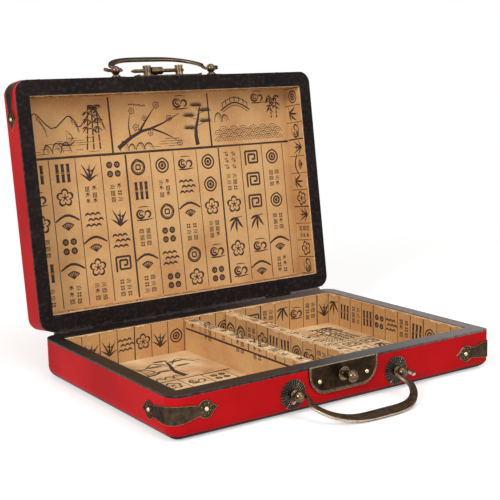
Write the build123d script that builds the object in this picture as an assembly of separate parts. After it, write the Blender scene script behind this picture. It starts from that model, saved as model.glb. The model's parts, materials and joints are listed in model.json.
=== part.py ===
from build123d import *
from math import acos, asin, atan2, cos, degrees, hypot, pi, radians, sin, sqrt
import os

# A hinged wooden game case in red leatherette: a shallow tray with two dividers, and a lid that
# stands open behind it. Millimetres. X runs along the case to the right, -Y is the front with the
# handles and the latch, Z is up. The origin is the middle of the tray's underside.

# Case
CASE_WIDTH = 320.0
CASE_DEPTH = 222.0
TRAY_HEIGHT = 35.5
LID_HEIGHT = 31.7
CORNER_RADIUS = 11.5  # upright corners
SQUARE_CORNER_RADIUS = 2.5  # the tray's right front corner, which is nearly square
TRAY_EDGE_RADIUS = 11.0  # round-over of the underside
LID_EDGE_RADIUS = 6.0  # round-over of the lid's outer face
RIM_GAP = 0.4  # left between the two rims when the case is shut
OPEN_ANGLE = 97.6

# Boards and coverings
SIDE_BOARD = 11.4
FRONT_BOARD = 13.0
TRAY_PANEL = 1.6
LID_PANEL = 2.6
COVERING = 0.8  # leatherette, rim trim and bottom cover
LINING = 0.5
TRIM_DROP = 1.7  # how far the rim trim turns down outside
COVER_WRAP = 2.4  # how far the bottom cover turns up round the edge

# Dividers
DIVIDER_BOARD = 9.0
DIVIDER_PAPER = 0.4
DIVIDER_DROP = 3.6  # below the rim
LEFT_DIVIDER_X = -18.5
RIGHT_DIVIDER_X = 26.6

# Handles, two alike: a bail that swings in the eyes of two ball posts
HANDLE_PITCH = 105.0  # between the posts
TRAY_HANDLE_DEPTH = 17.9  # from the rim plane
LID_HANDLE_DEPTH = 16.5
PIVOT_OUT = 8.0  # pivot from the case's face
ROSETTE_RADIUS = 11.75
ROSETTE_EDGE = 0.9
ROSETTE_RISE = 2.4
ROSETTE_BOSS = 4.8
FLUTES = 28
FLUTE_RADIUS = 1.0
FLUTE_DEPTH = 0.6
BALL_RADIUS = 4.4
POST_COLLAR = 3.9
POST_COLLAR_HEIGHT = 1.3
POST_NECK = 2.5
POST_SHANK = 1.8
SHANK_LENGTH = 9.0
PIVOT_RADIUS = 1.3
BAIL_THICK = 2.8
BAIL_ROUND = 0.8  # rounding of the bar's long edges
BAIL_REACH = 43.3  # pivot to the bar's outer edge
BAIL_BAR = 9.5  # width of the bar at its middle
BAIL_ARM = 5.2  # width of the arms, which taper on towards the posts
BAIL_SHOULDER = 12.8  # from the pivot to where the arms bend in
BAIL_ARM_INSET = 1.0  # the arms' outer side from the post's centre
BAIL_NECK_GAP = 0.5  # between a neck and its ball
BAIL_TAIL = 9.6  # the flared tail's reach past the post's centre
BAIL_FLOOR_GAP = 0.3  # the drooped bail's lowest edge above the table
LID_BAIL_TILT = 22.0  # the laid-back bail above the lid's face

# Latch
LATCH_X = -2.95
PLATE_WIDTH = 68.9
PLATE_DEPTH = 23.0
PLATE_CORNER = 16.5
PLATE = 1.0
BEAD = 1.7
BEAD_RISE = 0.8
PIN_PITCH = 48.0
PIN_DEPTH = 12.8
STUD_DEPTH = 10.0
STUD_OUT = 11.5  # centre of the stud's ball from the face
STUD_BALL = 5.0
STUD_NECK = 3.2
STUD_FLANGE = 5.4
STUD_FLANGE_HEIGHT = 1.4
LATCH_POST_PITCH = 35.0
LATCH_POST_DEPTH = 14.2
LATCH_POST_RADIUS = 4.1
LATCH_POST_HEIGHT = 11.5
BAR_OUT = 6.6  # the sliding bar's axis from the face
BAR_RADIUS = 1.8
BAR_LEFT_END = 13.0  # past the left post
BAR_RIGHT_END = 1.0
COLLAR_RADIUS = 2.8
COLLAR_WIDTH = 0.9
SLIDE = 8.0  # the bar's travel
KNUCKLE_WIDTH = 10.5
KNUCKLE_RADIUS = 3.6
HASP_OFFSET = 7.0  # the keyhole's round end from the knuckle's middle
HASP_PLATE = 1.6
HASP_WALL = 1.6
KEYHOLE_GAP = 0.25

# Corner guards: bent sheet with a lobe at each end; lengths along the sheet, from its middle
GUARD_SHEET = 0.8
GUARD_TIP = 39.4
GUARD_LOBE_AT = 28.5
GUARD_SHIFT = 1.7  # the sheet's middle sits this far round the corner, towards the side
GUARD_LOBE = 7.0
GUARD_NECK = 4.3
GUARD_TOP_BULGE = 7.3
GUARD_LOW_BULGE = 7.1
LEFT_GUARD_DEPTH = 15.1  # from the rim plane
LEFT_GUARD_SKEW = 1.5  # its front lobe is this much above its middle, its side lobe as much below
RIGHT_GUARD_DEPTH = 17.9

# Nails, pins and screws
NAIL_HEAD = 1.9
NAIL_RISE = 1.3
NAIL_SHANK = 0.7
NAIL_LENGTH = 7.0

# Hinges
HINGE_X = 95.0
HINGE_WIDTH = 30.0
LEAF = 0.9
LEAF_HEIGHT = 15.0
HINGE_KNUCKLE = 1.8
HINGE_PIN = 0.85
MIDDLE_KNUCKLE = 10.0
STOP_REACH = 6.5
SCREW_PITCH = 19.0
SCREW_DOWN = 9.5  # from the hinge axis

# Hinge strips: leatherette on both back faces, rolled up along the hinge line so that no gap shows
STRIP_HEIGHT = 12.0
STRIP_ROLL = 1.7
STRIP_END_GAP = 0.5  # from where the upright corners begin, and from the hinge leaves

# Clearances
RUNNING = 0.05  # shafts in bores, per side
END_PLAY = 0.1
HOLE_PLAY = 0.05  # shanks in their holes
KNUCKLE_PLAY = 0.15
REST_GAP = 0.3  # between pieces that rest on each other
STOP_GAP = 0.05

# Worked out from the sizes above
FLOOR_TOP = COVERING + TRAY_PANEL + LINING
INNER_HALF_WIDTH = CASE_WIDTH / 2 - COVERING - SIDE_BOARD - LINING
INNER_HALF_DEPTH = CASE_DEPTH / 2 - COVERING - FRONT_BOARD - LINING
LID_RIM = TRAY_HEIGHT + RIM_GAP
HINGE_Y = CASE_DEPTH / 2 + HINGE_KNUCKLE + KNUCKLE_PLAY
HINGE_Z = TRAY_HEIGHT + RIM_GAP / 2
HINGE_AXIS = Axis((0, HINGE_Y, HINGE_Z), (1, 0, 0))
HINGE_FACE = CASE_DEPTH / 2 - HINGE_Y
EYE_X = HANDLE_PITCH / 2
TRAY_FACE = Plane(origin=(0, -CASE_DEPTH / 2, TRAY_HEIGHT), x_dir=(1, 0, 0), z_dir=(0, -1, 0))
LID_FACE = Plane(origin=(0, -CASE_DEPTH / 2, LID_RIM), x_dir=(1, 0, 0), z_dir=(0, -1, 0))
KEYHOLE_AT = LATCH_POST_DEPTH + RIM_GAP + STUD_DEPTH
HASP_X = LATCH_X - HASP_OFFSET


def block(x_low, x_high, y_low, y_high, z_low, z_high):
    """Box between two corners."""
    middle = Pos((x_low + x_high) / 2, (y_low + y_high) / 2, (z_low + z_high) / 2)
    return middle * Box(x_high - x_low, y_high - y_low, z_high - z_low)


def turned(*points):
    """Solid of revolution about Z, from (radius, height) points of its outline."""
    return revolve(make_face(Polyline(*[(r, 0, z) for r, z in points], close=True)), Axis.Z)


def swing_plane(pivot_y, pivot_z, angle):
    """Plane holding a swinging piece: its Y points from the pivot, angle above the front's normal."""
    z_dir = (0, -sin(radians(angle)), -cos(radians(angle)))
    return Plane(origin=(0, pivot_y, pivot_z), x_dir=(1, 0, 0), z_dir=z_dir)


def opened(piece):
    """A lid piece, drawn shut, turned to where the open lid stands."""
    return piece.rotate(HINGE_AXIS, -OPEN_ANGLE)


# ---- Case halves, drawn standing on their panel with the open side up ----


def right_front(shape):
    """The vertex or edge of a shape that is nearest the case's right front corner."""
    return shape.sort_by_distance((CASE_WIDTH / 2, -CASE_DEPTH / 2, TRAY_HEIGHT / 2))[0]


def plan(inset, corner):
    """Outline of the case drawn in by inset; corner is the right front corner's radius."""
    outline = Rectangle(CASE_WIDTH - 2 * inset, CASE_DEPTH - 2 * inset)
    square = right_front(outline.vertices())
    others = [vertex for vertex in outline.vertices() if vertex != square]
    outline = fillet(others, CORNER_RADIUS - inset)
    return fillet(right_front(outline.vertices()), corner - inset) if corner else outline


def case_block(inset, height, corner, edge):
    """Block on z = 0 over the case's plan, its lower edges rounded over before a square corner is."""
    rounded = corner == CORNER_RADIUS
    solid = extrude(plan(inset, corner if rounded else 0), height)
    solid = fillet(solid.faces().sort_by(Axis.Z)[0].edges(), edge - inset)
    return solid if rounded else solid & extrude(plan(inset, corner), height)


def slab(z_low, z_high):
    """Everything in the case between two heights."""
    return block(-CASE_WIDTH, CASE_WIDTH, -CASE_DEPTH, CASE_DEPTH, z_low, z_high)


def case_half(height, panel, corner, edge, cover_wrap):
    """Boards, panel, covering, rim trim and linings of one half, by name."""
    outer = case_block(0, height, corner, edge)
    core = Pos(0, 0, COVERING) * case_block(COVERING, height - 2 * COVERING, corner, edge)
    board_x = INNER_HALF_WIDTH + LINING
    board_y = INNER_HALF_DEPTH + LINING
    panel_top = COVERING + panel
    floor = panel_top + LINING
    top = height - COVERING
    walls = (core & slab(panel_top, height)) - block(-board_x, board_x, -board_y, board_y, 0, height)
    covering = outer - core
    cavity = block(
        -INNER_HALF_WIDTH, INNER_HALF_WIDTH, -INNER_HALF_DEPTH, INNER_HALF_DEPTH, floor, 2 * height
    )
    far_x, far_y = CASE_WIDTH, CASE_DEPTH
    pieces = {
        "front_board": walls & block(-far_x, far_x, -far_y, -board_y, 0, height),
        "back_board": walls & block(-far_x, far_x, board_y, far_y, 0, height),
        "left_board": walls & block(-far_x, 0, -board_y, board_y, 0, height),
        "right_board": walls & block(0, far_x, -board_y, board_y, 0, height),
        "panel": core & slab(0, panel_top),
        "skin": covering & slab(cover_wrap, height - TRIM_DROP),
        "rim_trim": (covering & slab(height - TRIM_DROP, height)) - cavity,
        "panel_lining": block(-board_x, board_x, -board_y, board_y, panel_top, floor),
        "wall_lining": wall_linings(floor, top),
    }
    if cover_wrap:
        pieces["bottom_cover"] = covering & slab(0, cover_wrap)
    return pieces


def wall_linings(low, high):
    """Four paper strips round the inside: front and back full length, the sides between them."""
    board_x = INNER_HALF_WIDTH + LINING
    long_strip = block(-board_x, board_x, INNER_HALF_DEPTH, INNER_HALF_DEPTH + LINING, low, high)
    short_strip = block(INNER_HALF_WIDTH, board_x, -INNER_HALF_DEPTH, INNER_HALF_DEPTH, low, high)
    return [long_strip, mirror(long_strip, Plane.XZ), short_strip, mirror(short_strip, Plane.YZ)]


def divider(middle_x):
    """Divider board across the tray, and the printed paper folded over it."""
    top = TRAY_HEIGHT - DIVIDER_DROP
    half = DIVIDER_BOARD / 2
    board = block(
        middle_x - half, middle_x + half, -INNER_HALF_DEPTH, INNER_HALF_DEPTH, FLOOR_TOP, top - DIVIDER_PAPER
    )
    wrap = half + DIVIDER_PAPER
    paper = block(middle_x - wrap, middle_x + wrap, -INNER_HALF_DEPTH, INNER_HALF_DEPTH, FLOOR_TOP, top)
    return board, paper - board


# ---- Handles ----


def rosette():
    """Domed disc with radial flutes and a boss for the post, flat on z = 0."""
    hole = POST_SHANK + HOLE_PLAY
    disc = turned(
        (hole, 0),
        (ROSETTE_RADIUS, 0),
        (ROSETTE_RADIUS, ROSETTE_EDGE),
        (ROSETTE_BOSS, ROSETTE_RISE - FLUTE_DEPTH),
        (ROSETTE_BOSS, ROSETTE_RISE),
        (hole, ROSETTE_RISE),
    )
    lift = FLUTE_RADIUS - FLUTE_DEPTH
    start = Vector(ROSETTE_BOSS + FLUTE_RADIUS, 0, ROSETTE_RISE - FLUTE_DEPTH + lift)
    run = Vector(ROSETTE_RADIUS, 0, ROSETTE_EDGE + lift) - start
    flute = extrude(Plane(origin=start, z_dir=run) * Circle(FLUTE_RADIUS), run.length * 1.5)
    return disc - [turn * flute for turn in PolarLocations(0, FLUTES)]


def eye_post():
    """Ball post with a shank into the board, cross-bored for the bail."""
    foot = ROSETTE_RISE
    collar = foot + POST_COLLAR_HEIGHT
    stem = turned(
        (0, foot - SHANK_LENGTH),
        (POST_SHANK, foot - SHANK_LENGTH),
        (POST_SHANK, foot),
        (POST_COLLAR, foot),
        (POST_COLLAR, foot + POST_COLLAR_HEIGHT / 2),
        (POST_NECK, collar + POST_COLLAR_HEIGHT / 2),
        (POST_NECK, PIVOT_OUT),
        (0, PIVOT_OUT),
    )
    at_pivot = Pos(0, 0, PIVOT_OUT)
    bore = at_pivot * Rot(0, 90, 0) * Cylinder(PIVOT_RADIUS + RUNNING, 3 * BALL_RADIUS)
    return stem + at_pivot * Sphere(BALL_RADIUS) - bore


def bail_bar():
    """Flat bowed bar with its two arms, drawn with the pivot axis along X through the origin."""
    arm_outer = EYE_X - BAIL_ARM_INSET
    arm_inner = arm_outer - BAIL_ARM
    inner_reach = BAIL_REACH - BAIL_BAR
    neck_outer = EYE_X - BALL_RADIUS - BAIL_NECK_GAP
    neck_inner = neck_outer - 2 * PIVOT_RADIUS
    right_outer = Spline(
        (0, BAIL_REACH),
        (0.634 * arm_outer, 0.885 * BAIL_REACH),
        (0.885 * arm_outer, 0.635 * BAIL_REACH),
        (arm_outer, BAIL_SHOULDER),
        (neck_outer, 0),
        tangents=[(1, 0), (0, -1)],
    )
    right_inner = Spline(
        (0, inner_reach),
        (0.76 * arm_inner, 0.84 * inner_reach),
        (0.96 * arm_inner, 0.54 * inner_reach),
        (arm_inner, BAIL_SHOULDER),
        (neck_inner, 0),
        tangents=[(1, 0), (0, -1)],
    )
    left_outer = mirror(right_outer, Plane.YZ)
    left_inner = mirror(right_inner, Plane.YZ)
    right_foot = Line((neck_outer, 0), (neck_inner, 0))
    left_foot = mirror(right_foot, Plane.YZ)
    outline = make_face([right_outer, right_foot, right_inner, left_inner, left_foot, left_outer])
    bar = extrude(outline, BAIL_THICK / 2, both=True)
    long_edges = [edge for edge in bar.edges() if edge.length > BAIL_REACH]
    return fillet(long_edges, BAIL_ROUND)


def bail_tail():
    """Flared hook outside the right-hand post, which keeps the bail in its eye."""
    start = EYE_X + BALL_RADIUS + BAIL_NECK_GAP
    end = EYE_X + BAIL_TAIL
    hook = make_face(
        [
            Line((start, -PIVOT_RADIUS), (start, PIVOT_RADIUS)),
            Spline((start, PIVOT_RADIUS), (start + 1.0, 2.0), (end - 2.8, 5.2), tangents=[(1, 0), (-0.5, 1)]),
            Line((end - 2.8, 5.2), (end, 5.6)),
            Spline((end, 5.6), (end - 0.5, 1.4), (start, -PIVOT_RADIUS), tangents=[(0.3, -1), (-1, 0)]),
        ]
    )
    return extrude(hook, PIVOT_RADIUS, both=True)


def bail():
    """One carrying bail: bar, the two pivots that run through the balls, and their tails."""
    neck = EYE_X - BALL_RADIUS - BAIL_NECK_GAP - PIVOT_RADIUS
    tail = EYE_X + BALL_RADIUS + BAIL_NECK_GAP
    pivot = Pos((neck + tail) / 2, 0, 0) * Rot(0, 90, 0) * Cylinder(PIVOT_RADIUS, tail - neck)
    heel = Pos(neck, 0, 0) * Sphere(BAIL_THICK / 2)
    right = pivot + heel + bail_tail()
    return bail_bar() + right + mirror(right, Plane.YZ)


# ---- Latch ----


def latch_outline(inset):
    """Latch plate's outline below the rim, drawn in by inset at its sides and bottom."""
    width = PLATE_WIDTH - 2 * inset
    depth = PLATE_DEPTH - inset
    plate = Pos(LATCH_X, -depth / 2) * Rectangle(width, depth)
    return fillet(plate.vertices().group_by(Axis.Y)[0], PLATE_CORNER - inset)


def latch_plate(holes):
    """Tongue-shaped plate with a raised bead, its straight edge level with the rim."""
    bead = extrude(latch_outline(0) - latch_outline(BEAD), PLATE + BEAD_RISE)
    bead = fillet(bead.edges().group_by(Axis.Z)[-1], BEAD_RISE / 2)
    plate = extrude(latch_outline(0), PLATE) + bead
    drills = [Pos(x, y, 0) * Cylinder(radius + HOLE_PLAY, 4 * PLATE) for x, y, radius in holes]
    return plate - drills


def stud():
    """Ball stud: shank, flange on the plate, neck and ball."""
    stem = turned(
        (0, -SHANK_LENGTH),
        (POST_SHANK, -SHANK_LENGTH),
        (POST_SHANK, PLATE),
        (STUD_FLANGE, PLATE),
        (STUD_FLANGE, PLATE + STUD_FLANGE_HEIGHT / 2),
        (STUD_NECK, PLATE + STUD_FLANGE_HEIGHT),
        (STUD_NECK, STUD_OUT),
        (0, STUD_OUT),
    )
    return stem + Pos(0, 0, STUD_OUT) * Sphere(STUD_BALL)


def latch_post():
    """Turned post on the lid's plate with a rim at each end, cross-bored for the bar."""
    waist = LATCH_POST_RADIUS - BEAD_RISE / 2
    foot = PLATE + BEAD
    head = LATCH_POST_HEIGHT - BEAD
    body = turned(
        (0, -SHANK_LENGTH),
        (POST_SHANK, -SHANK_LENGTH),
        (POST_SHANK, PLATE),
        (LATCH_POST_RADIUS, PLATE),
        (LATCH_POST_RADIUS, foot),
        (waist, foot + BEAD_RISE / 2),
        (waist, head - BEAD_RISE / 2),
        (LATCH_POST_RADIUS, head),
        (LATCH_POST_RADIUS, LATCH_POST_HEIGHT - BEAD_RISE / 2),
        (waist, LATCH_POST_HEIGHT),
        (0, LATCH_POST_HEIGHT),
    )
    bore = Pos(0, 0, BAR_OUT) * Rot(0, 90, 0) * Cylinder(BAR_RADIUS + RUNNING, 3 * LATCH_POST_RADIUS)
    return body - bore


def latch_bar():
    """Sliding bar along X with a tapered left end and a collar each side of the hasp."""
    left = LATCH_X - LATCH_POST_PITCH / 2 - LATCH_POST_RADIUS - BAR_LEFT_END
    right = LATCH_X + LATCH_POST_PITCH / 2 + LATCH_POST_RADIUS + BAR_RIGHT_END
    taper = 2 * BAR_RADIUS
    rod = turned(
        (0, left),
        (BAR_RADIUS / 2, left),
        (BAR_RADIUS, left + taper),
        (BAR_RADIUS, right - BAR_RADIUS / 2),
        (BAR_RADIUS / 2, right),
        (0, right),
    )
    reach = KNUCKLE_WIDTH / 2 + END_PLAY + COLLAR_WIDTH / 2
    collars = [Pos(0, 0, HASP_X + side * reach) * Cylinder(COLLAR_RADIUS, COLLAR_WIDTH) for side in (-1, 1)]
    return Rot(0, 90, 0) * (rod + collars)


def hasp():
    """Hasp: knuckle on the bar, leaf tangent to it, and a keyhole that takes the stud."""
    hole = STUD_BALL + KEYHOLE_GAP
    slot = STUD_NECK + KEYHOLE_GAP
    slot_x = HASP_OFFSET - SLIDE
    leaf = Pos(0, KEYHOLE_AT / 2) * Rectangle(KNUCKLE_WIDTH, KEYHOLE_AT)
    head = make_hull(
        [
            *(Pos(HASP_OFFSET, KEYHOLE_AT) * Circle(hole + HASP_WALL)).edges(),
            *(Pos(slot_x, KEYHOLE_AT) * Circle(slot + HASP_WALL)).edges(),
        ]
    )
    keyhole = Pos(HASP_OFFSET, KEYHOLE_AT) * Circle(hole) + Pos(slot_x, KEYHOLE_AT) * Circle(slot)
    keyhole += Pos((HASP_OFFSET + slot_x) / 2, KEYHOLE_AT) * Rectangle(SLIDE, 2 * slot)
    plate = extrude(Pos(0, 0, KNUCKLE_RADIUS - HASP_PLATE) * (leaf + head - keyhole), HASP_PLATE)
    along = Rot(0, 90, 0)
    knuckle = plate + along * Cylinder(KNUCKLE_RADIUS, KNUCKLE_WIDTH)
    return Pos(HASP_X, 0, 0) * (knuckle - along * Cylinder(BAR_RADIUS + RUNNING, 2 * KNUCKLE_WIDTH))


def hasp_droop():
    """How far past the lid's face the hasp drops back before it meets the lid's rounded edge."""
    along = LID_HEIGHT - LID_EDGE_RADIUS - LATCH_POST_DEPTH
    down = LID_EDGE_RADIUS + BAR_OUT
    reach = LID_EDGE_RADIUS + REST_GAP - (KNUCKLE_RADIUS - HASP_PLATE)
    return degrees(acos(reach / hypot(along, down)) - atan2(along, down))


# ---- Corner guards and nails ----


def guard_outline(corner):
    """Guard seen along the corner's diagonal, so lengths along the faces shrink by root two."""
    squeeze = 1 / sqrt(2)
    tip = from_corner(GUARD_TIP, corner) * squeeze
    lobe_at = from_corner(GUARD_LOBE_AT, corner) * squeeze
    lobe = GUARD_LOBE * squeeze
    neck_at = lobe_at - lobe
    point_at = lobe_at + lobe / 2
    band = make_face(
        [
            Spline((-neck_at, GUARD_NECK), (0, GUARD_TOP_BULGE), (neck_at, GUARD_NECK)),
            Line((neck_at, GUARD_NECK), (lobe_at, GUARD_NECK)),
            Line((lobe_at, GUARD_NECK), (lobe_at, -GUARD_NECK)),
            Line((lobe_at, -GUARD_NECK), (neck_at, -GUARD_NECK)),
            Spline((neck_at, -GUARD_NECK), (0, -GUARD_LOW_BULGE), (-neck_at, -GUARD_NECK)),
            Line((-neck_at, -GUARD_NECK), (-lobe_at, -GUARD_NECK)),
            Line((-lobe_at, -GUARD_NECK), (-lobe_at, GUARD_NECK)),
            Line((-lobe_at, GUARD_NECK), (-neck_at, GUARD_NECK)),
        ]
    )
    point = make_face(
        Polyline((point_at, GUARD_NECK), (tip, 0), (point_at, -GUARD_NECK), (lobe_at, 0), close=True)
    )
    end = Pos(lobe_at, 0) * Ellipse(lobe, GUARD_LOBE) + point
    return band + end + mirror(end, Plane.YZ)


def from_corner(length, corner):
    """How far along a face a point of the sheet lies, for its distance from the guard's middle."""
    return length + (1 - pi / 4) * corner


def corner_guard(side, middle_z, corner, skew):
    """Sheet guard bent round the front corner on one side (-1 left, 1 right) at a height."""
    ring = plan(-GUARD_SHEET, corner) - plan(0, corner)
    band = Pos(0, 0, middle_z - 2 * GUARD_LOBE) * extrude(ring, 4 * GUARD_LOBE)
    outward = Plane(
        origin=(side * CASE_WIDTH / 2, -CASE_DEPTH / 2, middle_z),
        x_dir=(1, side, 0),
        z_dir=(side, -1, 0),
    )
    lean = -side * degrees(atan2(skew, from_corner(GUARD_LOBE_AT, corner) / sqrt(2)))
    outline = outward * Pos(side * GUARD_SHIFT / sqrt(2), 0) * Rot(0, 0, lean) * guard_outline(corner)
    return band & extrude(outline, GUARD_TIP, both=True)


def domed(head, rise, shank, length):
    """Nail or pin standing on z = 0: a domed head and a shank going down."""
    ball = (head**2 + rise**2) / (2 * rise)
    lean = asin(head / ball) / 2
    mid = (ball * sin(lean), 0, rise - ball + ball * cos(lean))
    outline = [
        Polyline((0, 0, rise), (0, 0, -length), (shank, 0, -length), (shank, 0, 0), (head, 0, 0)),
        ThreePointArc((head, 0, 0), mid, (0, 0, rise)),
    ]
    return revolve(make_face(outline), Axis.Z)


def guard_nail_places(guards):
    """Where the guards' nails stand on the case: two for each (side, height, corner, skew)."""
    places = []
    for side, z, corner, skew in guards:
        along = from_corner(GUARD_LOBE_AT, corner)
        front_x = CASE_WIDTH / 2 - along + GUARD_SHIFT
        flank_y = -CASE_DEPTH / 2 + along + GUARD_SHIFT
        front = (side * front_x, -CASE_DEPTH / 2 - GUARD_SHEET, z + skew)
        flank = (side * (CASE_WIDTH / 2 + GUARD_SHEET), flank_y, z - skew)
        places.append(Plane(origin=front, x_dir=(1, 0, 0), z_dir=(0, -1, 0)))
        places.append(Plane(origin=flank, x_dir=(0, 1, 0), z_dir=(side, 0, 0)))
    return places


# ---- Hinges ----


def hinge_leaf(lid):
    """One leaf at x = 0 round the hinge axis: the tray's hangs down, the lid's goes up."""
    outer_half = HINGE_WIDTH / 2
    middle_half = MIDDLE_KNUCKLE / 2
    face, back = HINGE_FACE, HINGE_FACE + LEAF
    clear = HINGE_KNUCKLE + REST_GAP
    plate = block(-outer_half, outer_half, face, back, -LEAF_HEIGHT, -clear)
    if lid:
        spans = [(-middle_half, middle_half)]
    else:
        spans = [(-outer_half, -middle_half - END_PLAY), (middle_half + END_PLAY, outer_half)]
    for low, high in spans:
        plate += block(low, high, face, back, -clear, -RIM_GAP / 2)
        plate += Pos((low + high) / 2, 0, 0) * Rot(0, 90, 0) * Cylinder(HINGE_KNUCKLE, high - low)
    lean = radians(180 - OPEN_ANGLE) / 2
    out_y, out_z = sin(lean), -cos(lean)
    back_off = STOP_GAP / 2
    near = clear + REST_GAP
    corners = [
        (0, near * out_y - back_off * cos(lean), near * out_z - back_off * sin(lean)),
        (0, STOP_REACH * out_y - back_off * cos(lean), STOP_REACH * out_z - back_off * sin(lean)),
        (0, back - LEAF / 2, -STOP_REACH / cos(lean)),
        (0, back - LEAF / 2, -near),
    ]
    lug = make_face(Polyline(*corners, close=True))
    plate += extrude(lug, middle_half - REST_GAP, dir=(1, 0, 0), both=True)
    plate -= Rot(0, 90, 0) * Cylinder(HINGE_PIN + RUNNING, 2 * HINGE_WIDTH)
    for x in (-SCREW_PITCH / 2, SCREW_PITCH / 2):
        plate -= Pos(x, 0, -SCREW_DOWN) * Rot(90, 0, 0) * Cylinder(NAIL_SHANK + HOLE_PLAY, 4 * HINGE_KNUCKLE)
    return mirror(plate, Plane.XY) if lid else plate


def hinge_strips(lid):
    """Strips beside and between the hinges: the lid's are flaps, the tray's end in the roll."""
    near = HINGE_X - HINGE_WIDTH / 2 - STRIP_END_GAP
    far = HINGE_X + HINGE_WIDTH / 2 + STRIP_END_GAP
    end = CASE_WIDTH / 2 - CORNER_RADIUS - STRIP_END_GAP
    top = HINGE_KNUCKLE + REST_GAP if lid else RIM_GAP / 2
    strips = []
    for low, high in ((-end, -far), (-near, near), (far, end)):
        strip = block(low, high, HINGE_FACE, HINGE_FACE + COVERING, -STRIP_HEIGHT, -top)
        if not lid:
            strip += Pos((low + high) / 2, 0, 0) * Rot(0, 90, 0) * Cylinder(STRIP_ROLL, high - low)
        strips.append(Pos(0, HINGE_Y, HINGE_Z) * (mirror(strip, Plane.XY) if lid else strip))
    return strips


def hinge_screw_places(side):
    """Where the hinge screws' heads stand: below the axis on the tray (-1), above it on the lid (1)."""
    return [
        Plane(
            origin=(hinge_x + x, CASE_DEPTH / 2 + LEAF, HINGE_Z + side * SCREW_DOWN),
            x_dir=(1, 0, 0),
            z_dir=(0, 1, 0),
        )
        for hinge_x in (-HINGE_X, HINGE_X)
        for x in (-SCREW_PITCH / 2, SCREW_PITCH / 2)
    ]


# ---- Assembly ----


def fastener_holes(places, radius, length):
    """Holes for shanks that go down from each place."""
    return [place.location * Cylinder(radius + HOLE_PLAY, 2 * length) for place in places]


def fitted_half(prefix, pieces, face, handle_y, latch_shanks, guard_sites, screw_side):
    """The half's pieces drilled for its fittings, and the fittings that both halves share."""
    posts = [Plane(face.location * Pos(x, handle_y, 0)) for x in (-EYE_X, EYE_X)]
    guard_nails = guard_nail_places(guard_sites)
    screws = hinge_screw_places(screw_side)
    pins = [Plane(face.location * Pos(x, y, PLATE)) for x, y, radius in latch_shanks if radius == NAIL_SHANK]
    studs = [Plane(face.location * Pos(x, y, 0)) for x, y, radius in latch_shanks if radius == POST_SHANK]
    wide = fastener_holes(posts + studs, POST_SHANK, SHANK_LENGTH)
    narrow = fastener_holes(guard_nails + screws + pins, NAIL_SHANK, NAIL_LENGTH)
    for name in ("front_board", "back_board", "left_board", "right_board", "skin"):
        pieces[name] = pieces[name] - (wide + narrow)
    guards = [corner_guard(*site) - narrow for site in guard_sites]
    nail = domed(NAIL_HEAD, NAIL_RISE, NAIL_SHANK, NAIL_LENGTH)
    parts = {f"{prefix}_{name}": piece for name, piece in pieces.items()}
    for name, place, guard, hinge_x in zip(("left", "right"), posts, guards, (-HINGE_X, HINGE_X)):
        parts[f"{prefix}_rosette_{name}"] = place.location * rosette()
        parts[f"{prefix}_eye_post_{name}"] = place.location * eye_post()
        parts[f"{prefix}_corner_guard_{name}"] = guard
        leaf = hinge_leaf(lid=screw_side > 0)
        parts[f"{prefix}_hinge_leaf_{name}"] = Pos(hinge_x, HINGE_Y, HINGE_Z) * leaf
    parts[f"{prefix}_guard_nails"] = [place.location * nail for place in guard_nails]
    parts[f"{prefix}_latch_pins"] = [place.location * nail for place in pins]
    parts[f"{prefix}_hinge_screws"] = [place.location * nail for place in screws]
    parts[f"{prefix}_hinge_strips"] = hinge_strips(lid=screw_side > 0)
    return parts


def tray_parts():
    """Everything that stays with the tray."""
    pins = [(LATCH_X + side * PIN_PITCH / 2, -PIN_DEPTH, NAIL_SHANK) for side in (-1, 1)]
    shanks = [(LATCH_X, -STUD_DEPTH, POST_SHANK), *pins]
    guards = [
        (-1, TRAY_HEIGHT - LEFT_GUARD_DEPTH, CORNER_RADIUS, LEFT_GUARD_SKEW),
        (1, TRAY_HEIGHT - RIGHT_GUARD_DEPTH, SQUARE_CORNER_RADIUS, 0),
    ]
    half = case_half(TRAY_HEIGHT, TRAY_PANEL, SQUARE_CORNER_RADIUS, TRAY_EDGE_RADIUS, COVER_WRAP)
    parts = fitted_half("tray", half, TRAY_FACE, -TRAY_HANDLE_DEPTH, shanks, guards, -1)
    parts["left_divider_board"], parts["left_divider_paper"] = divider(LEFT_DIVIDER_X)
    parts["right_divider_board"], parts["right_divider_paper"] = divider(RIGHT_DIVIDER_X)
    parts["tray_latch_plate"] = TRAY_FACE.location * latch_plate(shanks)
    parts["latch_stud"] = TRAY_FACE.location * Pos(LATCH_X, -STUD_DEPTH, 0) * stud()
    rod = Rot(0, 90, 0) * Cylinder(HINGE_PIN, HINGE_WIDTH)
    parts["hinge_pins"] = [Pos(x, HINGE_Y, HINGE_Z) * rod for x in (-HINGE_X, HINGE_X)]
    return parts


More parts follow.
